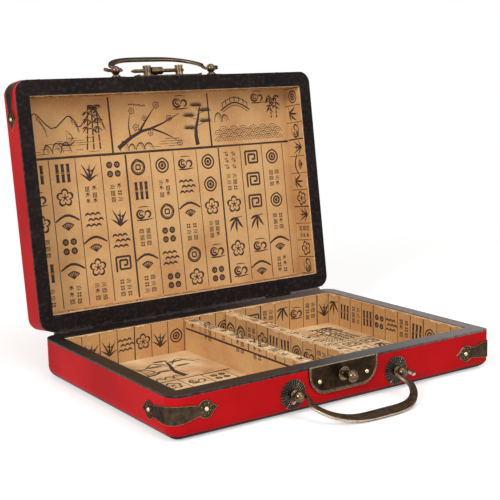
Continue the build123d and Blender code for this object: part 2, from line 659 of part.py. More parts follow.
def lid_parts():
    """Everything that stays with the lid, drawn with the case shut."""
    pins = [(LATCH_X + side * PIN_PITCH / 2, PIN_DEPTH, NAIL_SHANK) for side in (-1, 1)]
    posts = [(LATCH_X + side * LATCH_POST_PITCH / 2, LATCH_POST_DEPTH, POST_SHANK) for side in (-1, 1)]
    guards = [(side, LID_RIM + LEFT_GUARD_DEPTH, CORNER_RADIUS, 0) for side in (-1, 1)]
    upside_down = case_half(LID_HEIGHT, LID_PANEL, CORNER_RADIUS, LID_EDGE_RADIUS, 0)
    half = {}
    for name, piece in upside_down.items():
        pieces = piece if isinstance(piece, list) else [piece]
        flipped = [Pos(0, 0, LID_RIM + LID_HEIGHT) * mirror(one, Plane.XY) for one in pieces]
        half[name] = flipped if isinstance(piece, list) else flipped[0]
    parts = fitted_half("lid", half, LID_FACE, LID_HANDLE_DEPTH, posts + pins, guards, 1)
    below = [(x, -y, radius) for x, y, radius in posts + pins]
    parts["lid_latch_plate"] = LID_FACE.location * mirror(latch_plate(below), Plane.XZ)
    for name, (x, y, _) in zip(("left", "right"), posts):
        parts[f"latch_post_{name}"] = LID_FACE.location * Pos(x, y, 0) * latch_post()
    return parts


def bail_droop():
    """Angle below level at which the tray's bail rests with its outer edge just off the table."""
    pivot_z = TRAY_HEIGHT - TRAY_HANDLE_DEPTH
    half = BAIL_THICK / 2
    return degrees(asin((pivot_z - BAIL_FLOOR_GAP) / hypot(BAIL_REACH, half)) - atan2(half, BAIL_REACH))


def moving_parts():
    """The bails, the sliding bar and the hasp; all but the tray's bail are drawn with the case shut."""
    front = -CASE_DEPTH / 2
    handle_z = TRAY_HEIGHT - TRAY_HANDLE_DEPTH
    tray_bail = swing_plane(front - PIVOT_OUT, handle_z, -bail_droop()).location * bail()
    at_lid = swing_plane(front - PIVOT_OUT, LID_RIM + LID_HANDLE_DEPTH, 90 - LID_BAIL_TILT)
    bar_z = LID_RIM + LATCH_POST_DEPTH
    at_bar = swing_plane(front - BAR_OUT, bar_z, 90 + hasp_droop())
    on_lid = {
        "lid_bail": at_lid.location * bail(),
        "latch_bar": Pos(0, front - BAR_OUT, bar_z) * latch_bar(),
        "hasp": at_bar.location * hasp(),
    }
    return {"tray_bail": tray_bail}, on_lid


def write(name, piece):
    """Write one node's solids as a STEP file."""
    solids = [solid for one in (piece if isinstance(piece, list) else [piece]) for solid in one.solids()]
    export_step(solids[0] if len(solids) == 1 else Compound(children=solids), f"parts/{name}.step")


def main():
    os.makedirs("parts", exist_ok=True)
    on_tray, on_lid = moving_parts()
    for name, piece in {**tray_parts(), **on_tray}.items():
        write(name, piece)
    for name, piece in {**lid_parts(), **on_lid}.items():
        pieces = piece if isinstance(piece, list) else [piece]
        write(name, [opened(one) for one in pieces])


main()
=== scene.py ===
import json
import random
from math import cos, degrees, hypot, radians, sin

import bmesh
import bpy
from mathutils import Matrix, Vector


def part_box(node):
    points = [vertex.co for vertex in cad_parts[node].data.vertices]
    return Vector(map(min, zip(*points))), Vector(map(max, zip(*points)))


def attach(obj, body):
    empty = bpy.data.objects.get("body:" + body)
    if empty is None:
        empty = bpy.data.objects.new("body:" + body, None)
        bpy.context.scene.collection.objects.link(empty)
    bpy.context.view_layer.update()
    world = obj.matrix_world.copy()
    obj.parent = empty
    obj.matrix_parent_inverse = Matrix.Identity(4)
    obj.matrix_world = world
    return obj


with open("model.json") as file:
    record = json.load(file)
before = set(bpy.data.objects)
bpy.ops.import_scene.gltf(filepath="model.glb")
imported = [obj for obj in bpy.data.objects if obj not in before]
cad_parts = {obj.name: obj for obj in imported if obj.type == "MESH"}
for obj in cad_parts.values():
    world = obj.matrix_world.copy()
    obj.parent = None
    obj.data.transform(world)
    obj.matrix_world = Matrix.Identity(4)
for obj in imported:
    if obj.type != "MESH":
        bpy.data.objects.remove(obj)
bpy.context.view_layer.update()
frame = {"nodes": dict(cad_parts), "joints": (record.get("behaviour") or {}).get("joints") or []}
nodes = frame["nodes"]


# ---- Studio ----
# A pale table top under soft boxes, with the camera at the photograph's viewing angle. The table
# goes over into plain white away from the case, and what the camera and the metal see is white.

WHITE = "#FFFFFF"
FLOOR_COLOUR = "#ECEBE9"
FLOOR_REACH = 6.0
FLOOR_GLOW = 0.38  # keeps the table pale and the case's shadow soft
FADE_START, FADE_END = 0.35, 0.85  # where the table goes over into white, from the case's middle
CAMERA_PLACE = (-0.5265, -0.7534, 0.2712)
CAMERA_YAW, CAMERA_PITCH, CAMERA_ROLL = 34.22, 10.0, -1.17
SENSOR = 36.0
LENS = 77.87
SOFT_BOXES = (  # place, size and watts
    ((-1.75, -0.85, 1.05), 0.6, 25.0),
    ((0.4, -1.7, 0.9), 0.7, 7.0),
    ((0.1, -0.7, 1.9), 1.2, 9.0),
)
LIGHT_AIM = Vector((0.0, 0.0, 0.08))
AMBIENT = 0.5


def linear(colour):
    """An sRGB hex colour as a linear one."""
    channels = [int(colour[i : i + 2], 16) / 255 for i in (1, 3, 5)]
    return [c / 12.92 if c <= 0.04045 else ((c + 0.055) / 1.055) ** 2.4 for c in channels] + [1]


def add(tree, kind, feeds=None, **settings):
    """Adds a shader node: settings are its own, feeds are its sockets' values or links."""
    node = tree.nodes.new("ShaderNode" + kind)
    for name, value in settings.items():
        setattr(node, name, value)
    for socket, value in (feeds or {}).items():
        if isinstance(value, bpy.types.NodeSocket):
            tree.links.new(value, node.inputs[socket])
        else:
            node.inputs[socket].default_value = value
    return node


def material_tree(name):
    """A new material with an empty tree."""
    material = bpy.data.materials.new(name)
    material.use_nodes = True
    material.node_tree.nodes.clear()
    return material, material.node_tree


def new_object(name, mesh, material):
    """Links an object made of a bmesh and its finish."""
    data = bpy.data.meshes.new(name)
    mesh.to_mesh(data)
    mesh.free()
    data.materials.append(material)
    made = bpy.data.objects.new(name, data)
    bpy.context.scene.collection.objects.link(made)
    return made


def seen_rays(tree):
    """1 for what the camera sees, straight, mirrored or through something."""
    path = add(tree, "LightPath").outputs
    mirrored = add(tree, "Math", {0: path["Is Camera Ray"], 1: path["Is Glossy Ray"]}, operation="ADD")
    through = {0: mirrored.outputs[0], 1: path["Is Transmission Ray"]}
    return add(tree, "Math", through, operation="ADD", use_clamp=True).outputs[0]


table_top, tree = material_tree("pale_table_top")
place = add(tree, "TexCoord").outputs["Object"]
distance = add(tree, "VectorMath", {0: place}, operation="LENGTH").outputs["Value"]
far = add(tree, "MapRange", {"Value": distance, "From Min": FADE_START, "From Max": FADE_END}).outputs[0]
lit = add(tree, "BsdfDiffuse", {"Color": linear(FLOOR_COLOUR)}).outputs[0]
glow = add(tree, "Emission", {"Color": linear(WHITE), "Strength": FLOOR_GLOW}).outputs[0]
white = add(tree, "Emission", {"Color": linear(WHITE), "Strength": 1.0}).outputs[0]
glowing = add(tree, "AddShader", {0: lit, 1: glow}).outputs[0]
shown = add(tree, "MixShader", {0: far, 1: glowing, 2: white}).outputs[0]
surface = add(tree, "MixShader", {0: seen_rays(tree), 1: lit, 2: shown}).outputs[0]
add(tree, "OutputMaterial", {"Surface": surface})

plane = bmesh.new()
bmesh.ops.create_grid(plane, x_segments=1, y_segments=1, size=FLOOR_REACH)
new_object("floor", plane, table_top)

world = bpy.data.worlds.new("studio")
world.use_nodes = True
tree = world.node_tree
tree.nodes.clear()
ambient = add(tree, "Background", {"Color": linear(WHITE), "Strength": AMBIENT}).outputs[0]
backdrop = add(tree, "Background", {"Color": linear(WHITE), "Strength": 1.0}).outputs[0]
surface = add(tree, "MixShader", {0: seen_rays(tree), 1: ambient, 2: backdrop}).outputs[0]
add(tree, "OutputWorld", {"Surface": surface})
bpy.context.scene.world = world
bpy.context.scene.view_settings.view_transform = "Standard"

for number, (spot, size, watts) in enumerate(SOFT_BOXES):
    lamp = bpy.data.lights.new(f"soft_box_{number}", "AREA")
    lamp.size = size
    lamp.energy = watts
    box = bpy.data.objects.new(lamp.name, lamp)
    box.location = spot
    box.rotation_euler = (LIGHT_AIM - Vector(spot)).to_track_quat("-Z", "Y").to_euler()
    bpy.context.scene.collection.objects.link(box)

camera_data = bpy.data.cameras.new("camera")
camera_data.sensor_width = SENSOR
camera_data.lens = LENS
camera = bpy.data.objects.new("camera", camera_data)
camera.matrix_world = (
    Matrix.Translation(CAMERA_PLACE)
    @ Matrix.Rotation(radians(-CAMERA_YAW), 4, "Z")
    @ Matrix.Rotation(radians(90 - CAMERA_PITCH), 4, "X")
    @ Matrix.Rotation(radians(CAMERA_ROLL), 4, "Z")
)
bpy.context.scene.collection.objects.link(camera)
bpy.context.scene.camera = camera


# ---- Leatherette skins ----
# Red PVC leatherette glued over the boards and drawn round their corners. It is calendered, so the
# eye sees one strong red with a fine pebble grain, little gloss, and the boards' slow unevenness.

MM = 0.001  # in metres, the scene's unit
HINGE = Vector((0, frame["joints"][0]["pos_m"][1], frame["joints"][0]["pos_m"][2]))
OPEN_ANGLE = radians(frame["joints"][0]["range_deg"][1])
OPENED = Matrix.Translation(HINGE) @ Matrix.Rotation(-OPEN_ANGLE, 4, "X") @ Matrix.Translation(-HINGE)
SKIN_RED, SKIN_SHADE, SKIN_BOTTOM_DARK = "#B81418", "#A41115", "#2A1C1C"
PEBBLE = 0.9 * MM  # leather grain, drawn a little coarse so that it shows
BLOTCH, UNEVEN = 60 * MM, 35 * MM  # the size of changes in the red and of dips in the boards
BAND_TOP, BAND_WANDER = 4.6 * MM, 25 * MM  # how high the dark band along the tray's bottom reaches, and its wander


def dress(material, *names):
    """Gives CAD nodes a finish."""
    for name in names:
        for slot in nodes[name].material_slots:
            slot.material = material


def shut_place(tree, on_lid):
    """Object coordinates, with the open lid's turned back to where they are when the case is shut."""
    place = add(tree, "TexCoord").outputs["Object"]
    if not on_lid:
        return place
    back = Matrix.Rotation(OPEN_ANGLE, 4, "X")
    shift = HINGE - back @ HINGE
    feeds = {"Vector": place, "Location": shift, "Rotation": (OPEN_ANGLE, 0, 0)}
    return add(tree, "Mapping", feeds).outputs[0]


for half in ("tray", "lid"):
    material, tree = material_tree(f"pvc_leatherette_{half}")
    place = shut_place(tree, half == "lid")
    blotches = add(tree, "TexNoise", {"Vector": place, "Scale": 1 / BLOTCH, "Detail": 3.0}).outputs[0]
    tone = add(tree, "MapRange", {"Value": blotches, "From Min": 0.35, "From Max": 0.7}).outputs[0]
    reds = {"Factor": tone, "A": linear(SKIN_RED), "B": linear(SKIN_SHADE)}
    red = add(tree, "Mix", reds, data_type="RGBA").outputs["Result"]
    # the tray's skin is darker in a wandering band along its bottom edge
    if half == "tray":
        height = add(tree, "SeparateXYZ", {"Vector": place}).outputs["Z"]
        wander = {"Vector": place, "Scale": 1 / BAND_WANDER, "Detail": 2.0}
        wander = add(tree, "TexNoise", wander).outputs[0]
        edge = add(tree, "MapRange", {"Value": wander, "To Min": BAND_TOP - MM, "To Max": BAND_TOP + MM})
        above = add(tree, "Math", {0: height, 1: edge.outputs[0]}, operation="SUBTRACT").outputs[0]
        band = add(tree, "MapRange", {"Value": above, "From Min": 0.25 * MM, "From Max": -0.25 * MM})
        darkened = {"Factor": band.outputs[0], "A": red, "B": linear(SKIN_BOTTOM_DARK)}
        red = add(tree, "Mix", darkened, data_type="RGBA").outputs["Result"]
    pebbles = {"Vector": place, "Scale": 1 / PEBBLE}
    pebbles = add(tree, "TexVoronoi", pebbles, feature="SMOOTH_F1").outputs[0]
    grain = add(tree, "Bump", {"Height": pebbles, "Strength": 0.12, "Distance": 0.1 * MM}).outputs[0]
    waves = add(tree, "TexNoise", {"Vector": place, "Scale": 1 / UNEVEN, "Detail": 1.0}).outputs[0]
    hide = {"Height": waves, "Strength": 0.35, "Distance": 1.2 * MM, "Normal": grain}
    relief = add(tree, "Bump", hide).outputs[0]
    rough = add(tree, "MapRange", {"Value": blotches, "To Min": 0.34, "To Max": 0.5}).outputs[0]
    look = {"Base Color": red, "Roughness": rough, "Normal": relief}
    look |= {"IOR": 1.5, "Specular IOR Level": 0.03}
    shader = add(tree, "BsdfPrincipled", look).outputs[0]
    add(tree, "OutputMaterial", {"Surface": shader})
    dress(material, f"{half}_skin")


# ---- Rim trims and bottom cover ----
# Black bonded-leather binding glued over each rim and book cloth under the tray. The binding is thin
# and folded, so the eye sees creases in it and grey-brown rubbed edges. The tray's binding is also
# greyed towards its right side as a painted sheen.

# the rubbed grey-brown also colours the painted sheen on the tray's binding
BLACK, BLACK_RUB_AND_SHEEN, BLACK_SHADE = "#1E1615", "#82756F", "#130D0D"
EDGE_RUB = 0.9 * MM  # how far in from an edge the binding is rubbed
# the painted sheen on the tray's binding, from where it starts across the tray to where it is strongest
PAINTED_SHEEN_SPAN = (10 * MM, 150 * MM)  # across the tray, from where its binding is greyed to where it is most
TRIMS = (("tray", 0.2, 0.3), ("lid", 0.07, 0.4))  # gloss, lowest roughness: hands polish the tray's

for half, gloss, smoothest in TRIMS:
    material, tree = material_tree(f"bonded_leather_{half}")
    place = shut_place(tree, half == "lid")
    patches = add(tree, "TexNoise", {"Vector": place, "Scale": 1 / (22 * MM), "Detail": 4.0}).outputs[0]
    tone = add(tree, "MapRange", {"Value": patches, "From Min": 0.3, "From Max": 0.7}).outputs[0]
    blacks = {"Factor": tone, "A": linear(BLACK), "B": linear(BLACK_SHADE)}
    black = add(tree, "Mix", blacks, data_type="RGBA").outputs["Result"]
    scuffs = add(tree, "TexNoise", {"Vector": place, "Scale": 1 / (4 * MM), "Detail": 8.0}).outputs[0]
    scuff = {"Value": scuffs, "From Min": 0.5, "From Max": 0.8, "To Max": 0.22}
    scuff = add(tree, "MapRange", scuff).outputs[0]
    rounded = add(tree, "Bevel", {"Radius": EDGE_RUB}, samples=6).outputs[0]
    normal = add(tree, "NewGeometry").outputs["Normal"]
    flat = add(tree, "VectorMath", {0: rounded, 1: normal}, operation="DOT_PRODUCT").outputs["Value"]
    edge_mask = add(tree, "MapRange", {"Value": flat, "From Min": 0.985, "From Max": 0.9}).outputs[0]
    broken = add(tree, "MapRange", {"Value": scuffs, "From Min": 0.42, "From Max": 0.62}).outputs[0]
    edge_mask = add(tree, "Math", {0: edge_mask, 1: broken}, operation="MULTIPLY").outputs[0]
    rub_and_painted_light = add(tree, "Math", {0: scuff, 1: edge_mask}, operation="ADD", use_clamp=True).outputs[0]
    rub_and_painted_light = add(tree, "Math", {0: rub_and_painted_light, 1: 0.55}, operation="MULTIPLY").outputs[0]
    if half == "tray":  # painted sheen: the tray's binding is greyed, in streaks, towards its right side
        across = add(tree, "SeparateXYZ", {"Vector": place}).outputs["X"]
        painted_sheen = {"Value": across, "From Min": PAINTED_SHEEN_SPAN[0], "From Max": PAINTED_SHEEN_SPAN[1], "To Max": 0.75}
        painted_sheen = add(tree, "MapRange", painted_sheen).outputs[0]
        sheen_streaks = {"Value": scuffs, "From Min": 0.3, "From Max": 0.6, "To Min": 0.35}
        sheen_streaks = add(tree, "MapRange", sheen_streaks).outputs[0]
        painted_sheen = add(tree, "Math", {0: painted_sheen, 1: sheen_streaks}, operation="MULTIPLY").outputs[0]
        rub_and_painted_light = add(tree, "Math", {0: rub_and_painted_light, 1: painted_sheen}, operation="MAXIMUM").outputs[0]
    rubbed_and_painted_light = {"Factor": rub_and_painted_light, "A": black, "B": linear(BLACK_RUB_AND_SHEEN)}
    black = add(tree, "Mix", rubbed_and_painted_light, data_type="RGBA").outputs["Result"]
    creases = {"Vector": place, "Scale": 1 / (3 * MM), "Detail": 5.0, "Distortion": 1.5}
    crease = add(tree, "TexNoise", creases).outputs[0]
    relief = add(tree, "Bump", {"Height": crease, "Strength": 0.3, "Distance": 0.25 * MM}).outputs[0]
    rough = {"Value": scuffs, "To Min": smoothest, "To Max": smoothest + 0.24}
    rough = add(tree, "MapRange", rough).outputs[0]
    look = {"Base Color": black, "Roughness": rough, "Normal": relief}
    look |= {"IOR": 1.5, "Specular IOR Level": gloss}
    shader = add(tree, "BsdfPrincipled", look).outputs[0]
    add(tree, "OutputMaterial", {"Surface": shader})
    dress(material, f"{half}_rim_trim", f"{half}_hinge_strips")

THREAD = 0.8 * MM
CLOTH_BLACK, CLOTH_DUST = "#1C1716", "#3A312D"

cover, tree = material_tree("black_book_cloth")  # dull, with a square weave that has caught dust
place = add(tree, "TexCoord").outputs["Object"]
weave = add(tree, "TexVoronoi", {"Vector": place, "Scale": 1 / THREAD}, distance="CHEBYCHEV").outputs[0]
relief = add(tree, "Bump", {"Height": weave, "Strength": 0.4, "Distance": 0.15 * MM}).outputs[0]
dust = add(tree, "TexNoise", {"Vector": place, "Scale": 1 / (15 * MM), "Detail": 6.0}).outputs[0]
blacks = {"Factor": dust, "A": linear(CLOTH_BLACK), "B": linear(CLOTH_DUST)}
black = add(tree, "Mix", blacks, data_type="RGBA").outputs["Result"]
look = {"Base Color": black, "Roughness": 0.75, "Normal": relief}
shader = add(tree, "BsdfPrincipled", look).outputs[0]
add(tree, "OutputMaterial", {"Surface": shader})
dress(cover, "tray_bottom_cover")


# ---- Boards ----
# Sawn poplar side boards and thin panels, butted and glued. The coverings hide them, and where a
# board's end is bare the eye sees pale wood with soft, wavering rings.

WOOD, WOOD_RING = "#C7A577", "#A98454"
RING = 9 * MM

boards, tree = material_tree("sawn_poplar")
place = add(tree, "TexCoord").outputs["Object"]
rings = {"Vector": place, "Scale": 1 / RING, "Distortion": 6.0, "Detail": 3.0}
rings = add(tree, "TexWave", rings).outputs["Fac"]
woods = {"Factor": rings, "A": linear(WOOD), "B": linear(WOOD_RING)}
wood = add(tree, "Mix", woods, data_type="RGBA").outputs["Result"]
relief = add(tree, "Bump", {"Height": rings, "Strength": 0.2, "Distance": 0.1 * MM}).outputs[0]
shader = add(tree, "BsdfPrincipled", {"Base Color": wood, "Roughness": 0.7, "Normal": relief}).outputs[0]
add(tree, "OutputMaterial", {"Surface": shader})
dress(boards, *(name for name in nodes if name.endswith(("_board", "_panel"))))


# ---- Paper linings ----
# Kraft paper pasted inside both halves and folded over the dividers. It is unbleached, so the eye
# sees a warm tan with long fibres, small specks and patches where paste has darkened it.

KRAFT, KRAFT_DARK, KRAFT_PALE, KRAFT_SPECK = "#CDA06A", "#BA8650", "#EFD2A2", "#7A5130"
STRAND, SPECK, PASTE = 2.1 * MM, 1.6 * MM, 45 * MM  # sizes of fibre tangles, specks, damp patches

PAPERS = (  # each sheet's tan and the nodes cut from it; the tray walls' darker tan and the floor's paler one are painted shade and painted light
    ("lid", KRAFT, ("lid_panel_lining", "lid_wall_lining")),
    # painted shade: the tray's wall paper is a darker tan
    ("tray", "#C4955E", ("tray_wall_lining",)),
    # painted light: the tray's floor paper is a paler tan, as if lit from above
    ("floor", "#EAC898", ("tray_panel_lining",)),
    ("divider", KRAFT, ("left_divider_paper", "right_divider_paper")),
)

for sheet, colour, papers in PAPERS:
    material, tree = material_tree(f"kraft_paper_{sheet}")
    place = shut_place(tree, sheet == "lid")
    patches = add(tree, "TexNoise", {"Vector": place, "Scale": 1 / PASTE, "Detail": 4.0}).outputs[0]
    tone = add(tree, "MapRange", {"Value": patches, "From Min": 0.4, "From Max": 0.72}).outputs[0]
    tans = {"Factor": tone, "A": linear(colour), "B": linear(KRAFT_DARK)}
    tan = add(tree, "Mix", tans, data_type="RGBA").outputs["Result"]
    strands = {"Vector": place, "Scale": 1 / STRAND, "Detail": 6.0, "Distortion": 2.5}
    fibres = add(tree, "TexNoise", strands).outputs[0]
    pale = add(tree, "MapRange", {"Value": fibres, "From Min": 0.5, "From Max": 0.75, "To Max": 0.35})
    paled = {"Factor": pale.outputs[0], "A": tan, "B": linear(KRAFT_PALE)}
    tan = add(tree, "Mix", paled, data_type="RGBA").outputs["Result"]
    specks = add(tree, "TexNoise", {"Vector": place, "Scale": 1 / SPECK, "Detail": 2.0}).outputs[0]
    speck = add(tree, "MapRange", {"Value": specks, "From Min": 0.68, "From Max": 0.74, "To Max": 0.5})
    specked = {"Factor": speck.outputs[0], "A": tan, "B": linear(KRAFT_SPECK)}
    tan = add(tree, "Mix", specked, data_type="RGBA").outputs["Result"]
    if sheet == "divider":  # the faces that point up are paler in patches
        normal = add(tree, "NewGeometry").outputs["Normal"]
        upward = add(tree, "SeparateXYZ", {"Vector": normal}).outputs["Z"]
        frays = add(tree, "TexNoise", {"Vector": place, "Scale": 1 / (5 * MM), "Detail": 6.0}).outputs[0]
        scuff = add(tree, "MapRange", {"Value": frays, "From Min": 0.38, "From Max": 0.58}).outputs[0]
        scuff = add(tree, "Math", {0: scuff, 1: upward}, operation="MULTIPLY", use_clamp=True).outputs[0]
        paler_on_top = {"Factor": scuff, "A": tan, "B": linear(KRAFT_PALE)}
        tan = add(tree, "Mix", paler_on_top, data_type="RGBA").outputs["Result"]
    relief = add(tree, "Bump", {"Height": fibres, "Strength": 0.35, "Distance": 0.12 * MM}).outputs[0]
    look = {"Base Color": tan, "Roughness": 0.82, "IOR": 1.45, "Normal": relief}
    shader = add(tree, "BsdfPrincipled", look).outputs[0]
    add(tree, "OutputMaterial", {"Surface": shader})
    dress(material, *papers)


# ---- Antiqued fittings ----
# Rosettes, posts, bails, latch and guards: stamped, turned or cast brass, blackened chemically and
# then rubbed, so the hollows stay dark and the edges and raised beads come up a dull gold. The hollows'
# dark is deepened as painted shade, and the pale edges are partly painted highlight.

# the dark of blackening left in hollows, also used there as painted shade
BLACKENING_AND_SHADE = "#15100C"
CREVICE = 2.5 * MM  # how near two surfaces are where the corner is darkened, as blackening and as painted shade
OXIDE = "#6E5C4C"  # seen edge on, the oxide film keeps the metal from going white
RUBBED = 1.5 * MM  # the size of the patches that rubbing leaves


def antiqued(name, dark, light, rub_and_highlight, edge_width, smoothest, lacquer=0.0, flat_way=None):
    """Blackened brass painted pale for edge_width in from its edges, as rubbing and as painted
    highlight, and dark in its hollows, as blackening and as painted shade: a dark metal with warm rims.

    smoothest is its lowest roughness, and lacquer the weight of its clear coat. flat_way is where a
    flat bar's broad faces point, for one whose narrow sides are painted pale all over.
    """
    material, tree = material_tree(name)
    place = add(tree, "TexCoord").outputs["Object"]
    clouds = add(tree, "TexNoise", {"Vector": place, "Scale": 1 / (5 * MM), "Detail": 5.0}).outputs[0]
    tone = add(tree, "MapRange", {"Value": clouds, "From Min": 0.35, "From Max": 0.65}).outputs[0]
    tones = {"Factor": tone, "A": linear(dark), "B": linear(light)}
    metal = add(tree, "Mix", tones, data_type="RGBA").outputs["Result"]
    rounded = add(tree, "Bevel", {"Radius": edge_width}, samples=6).outputs[0]
    normal = add(tree, "NewGeometry").outputs["Normal"]
    flat = add(tree, "VectorMath", {0: rounded, 1: normal}, operation="DOT_PRODUCT").outputs["Value"]
    # the edges, painted pale as rubbing and as painted highlight
    edge_mask = add(tree, "MapRange", {"Value": flat, "From Min": 0.98, "From Max": 0.86})
    if flat_way is not None:
        own = add(tree, "TexCoord").outputs["Normal"]
        broad = add(tree, "VectorMath", {0: own, 1: flat_way}, operation="DOT_PRODUCT").outputs["Value"]
        broad = add(tree, "Math", {0: broad}, operation="ABSOLUTE").outputs[0]
        edge_mask = add(tree, "MapRange", {"Value": broad, "From Min": 0.8, "From Max": 0.45})
    rubs = add(tree, "TexNoise", {"Vector": place, "Scale": 1 / RUBBED, "Detail": 4.0}).outputs[0]
    patches = {"Value": rubs, "From Min": 0.3, "From Max": 0.55, "To Min": 0.4}
    patchy = add(tree, "MapRange", patches).outputs[0]
    rub_and_painted_light = add(tree, "Math", {0: edge_mask.outputs[0], 1: patchy}, operation="MULTIPLY").outputs[0]
    # painted shade: corners near other surfaces are darkened towards the blackening, which the real
    # metal also keeps there
    open_air = add(tree, "AmbientOcclusion", {"Distance": CREVICE}, samples=6).outputs["AO"]
    hollow_and_shade = add(tree, "MapRange", {"Value": open_air, "From Min": 0.35, "From Max": 0.85}).outputs[0]
    rub_and_painted_light = add(tree, "Math", {0: rub_and_painted_light, 1: hollow_and_shade}, operation="MULTIPLY").outputs[0]
    rubs_and_highlights = {"Factor": rub_and_painted_light, "A": metal, "B": linear(rub_and_highlight)}
    metal = add(tree, "Mix", rubs_and_highlights, data_type="RGBA").outputs["Result"]
    shaded = {"Factor": hollow_and_shade, "A": linear(BLACKENING_AND_SHADE), "B": metal}
    metal = add(tree, "Mix", shaded, data_type="RGBA").outputs["Result"]
    rough = {"Value": clouds, "To Min": smoothest, "To Max": smoothest + 0.18}
    rough = add(tree, "MapRange", rough).outputs[0]
    relief = add(tree, "Bump", {"Height": rubs, "Strength": 0.15, "Distance": 0.1 * MM}).outputs[0]
    look = {"Base Color": metal, "Metallic": 0.9, "Roughness": rough, "Normal": relief}
    look |= {"Coat Weight": lacquer, "Coat Roughness": 0.08, "Specular Tint": linear(OXIDE)}
    shader = add(tree, "BsdfPrincipled", look).outputs[0]
    add(tree, "OutputMaterial", {"Surface": shader})
    return material


# The guards are stamped sheet: dark and cloudy, with a thin rubbed rim.
stamped = antiqued("blackened_brass_sheet", "#2E251C", "#4C3D2E", "#A8916C", 1.0 * MM, 0.25, 0.1)
dress(stamped, *(name for name in nodes if "corner_guard" in name))

# The latch plates have a raised bead round them; the tray's is painted bright as a highlight, the lid's
# hardly.
beaded = antiqued("beaded_brass_tray_plate", "#251C14", "#3D3023", "#D6BF9C", 1.5 * MM, 0.27)
dress(beaded, "tray_latch_plate")
dulled = antiqued("beaded_brass_lid_plate", "#1E150E", "#33261B", "#6E5A44", 1.5 * MM, 0.3)
dress(dulled, "lid_latch_plate")

# The rosettes are near black, with a fine bright line along each flute's ridge: a painted highlight.
fluted = antiqued("fluted_brass_rosettes", "#17120E", "#261F18", "#AC9C80", 0.4 * MM, 0.24, 0.3)
dress(fluted, *(name for name in nodes if "rosette" in name))

# What is turned or handled is lacquered, so it shines a warm brown and goes pale at its rims.
turned = antiqued("rubbed_brass_turnings", "#433522", "#7C623E", "#EEDBB2", 0.7 * MM, 0.12, 0.6)
dress(turned, "latch_stud", "latch_post_left", "latch_post_right", "latch_bar", "hasp")
dress(turned, *(name for name in nodes if "eye_post" in name))

# The bails are dark flat bars whose narrow sides are painted pale all along, as rubbing and as a painted
# highlight, the tray's more than the lid's.
# A bail lies in the plane of X and of its reach: out and down on the tray, out and up on the lid.
for half, rise, rubbed_and_painted_light in (("tray", -1, "#CDB9A4"), ("lid", 1, "#7E6A55")):
    low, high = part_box(f"{half}_bail")
    reach = Vector((0, low.y - high.y, rise * (high.z - low.z)))
    flat_way = reach.cross(Vector((1, 0, 0))).normalized()
    name = f"blackened_brass_{half}_bail"
    bail = antiqued(name, "#3B3025", "#554638", rubbed_and_painted_light, 0.9 * MM, 0.24, 0.05, flat_way)
    dress(bail, f"{half}_bail")

# Nail and pin heads are polished, and show as small bright points.
heads = antiqued("polished_brass_heads", "#C9B184", "#DCC9A0", "#F0E2C0", 0.5 * MM, 0.16)
dress(heads, "tray_guard_nails", "lid_guard_nails", "tray_latch_pins", "lid_latch_pins")

# No hand rubs the hinges, so they stay dull and dark.
leaves = antiqued("blackened_brass_leaves", "#1E1914", "#2C251D", "#4E4432", 0.5 * MM, 0.4)
dress(leaves, "hinge_pins", *(name for name in nodes if "hinge_leaf" in name or "hinge_screws" in name))


# ---- Guard petals ----
# Each guard's nails sit in a ring of small petals, punched up from behind when the sheet is stamped.
# They are the same sheet as the guards, and catch the light as a little flower round each nail.

PETALS = 8
PETAL_RING = 4.1 * MM  # from the nail's middle to a petal's
PETAL = (1.5 * MM, 0.85 * MM, 0.42 * MM)  # half its length, half its width, and its height
PETAL_ROUND, PETAL_UP = 10, 6  # a petal's faces
NAIL_DOME = 1.3 * MM  # how far a nail's head stands out


def solid_boxes(name, to_shut):
    """The lowest and highest corner of each solid in a node, moved by a matrix."""
    merged = bmesh.new()
    merged.from_mesh(nodes[name].data)
    bmesh.ops.remove_doubles(merged, verts=merged.verts, dist=0.001 * MM)  # the CAD's loose triangles
    left, boxes = set(merged.verts), []
    while left:
        front, places = [left.pop()], []  # spreads from one vertex over all of its solid
        while front:
            vertex = front.pop()
            places.append(to_shut @ vertex.co)
            fresh = left.intersection(edge.other_vert(vertex) for edge in vertex.link_edges)
            left -= fresh
            front += fresh
        corners = ([pick(place[axis] for place in places) for axis in range(3)] for pick in (min, max))
        boxes.append(tuple(corners))
    merged.free()
    return sorted(boxes)


for half, to_shut in (("tray", Matrix.Identity(4)), ("lid", OPENED.inverted())):
    ring = bmesh.new()
    for corners in solid_boxes(f"{half}_guard_nails", to_shut):
        low, high = map(Vector, corners)
        middle, size = (low + high) / 2, high - low
        out = Vector((0, -1, 0)) if size.y > size.x else Vector((1 if middle.x > 0 else -1, 0, 0))
        seat = Matrix.Translation(middle + out * (max(size) / 2 - NAIL_DOME))
        seat = to_shut.inverted() @ seat @ out.to_track_quat("Z", "Y").to_matrix().to_4x4()
        for turn in range(PETALS):
            spin = Matrix.Rotation(radians(360 * (turn + 0.5) / PETALS), 4, "Z")
            spot = seat @ spin @ Matrix.Translation((PETAL_RING, 0, 0)) @ Matrix.Diagonal((*PETAL, 1))
            sizes = {"u_segments": PETAL_ROUND, "v_segments": PETAL_UP, "radius": 1}
            bmesh.ops.create_uvsphere(ring, matrix=spot, **sizes)
    for face in ring.faces:
        face.smooth = True
    petals = new_object(f"{half}_guard_petals", ring, stamped)
    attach(petals, half)


# ---- Printed ink ----
# The linings are printed from cut wood blocks in one dark brown, with small game and garden motifs and
# pictures between rules. Each stroke is a thin film of ink, so its outline and its swelling are real.

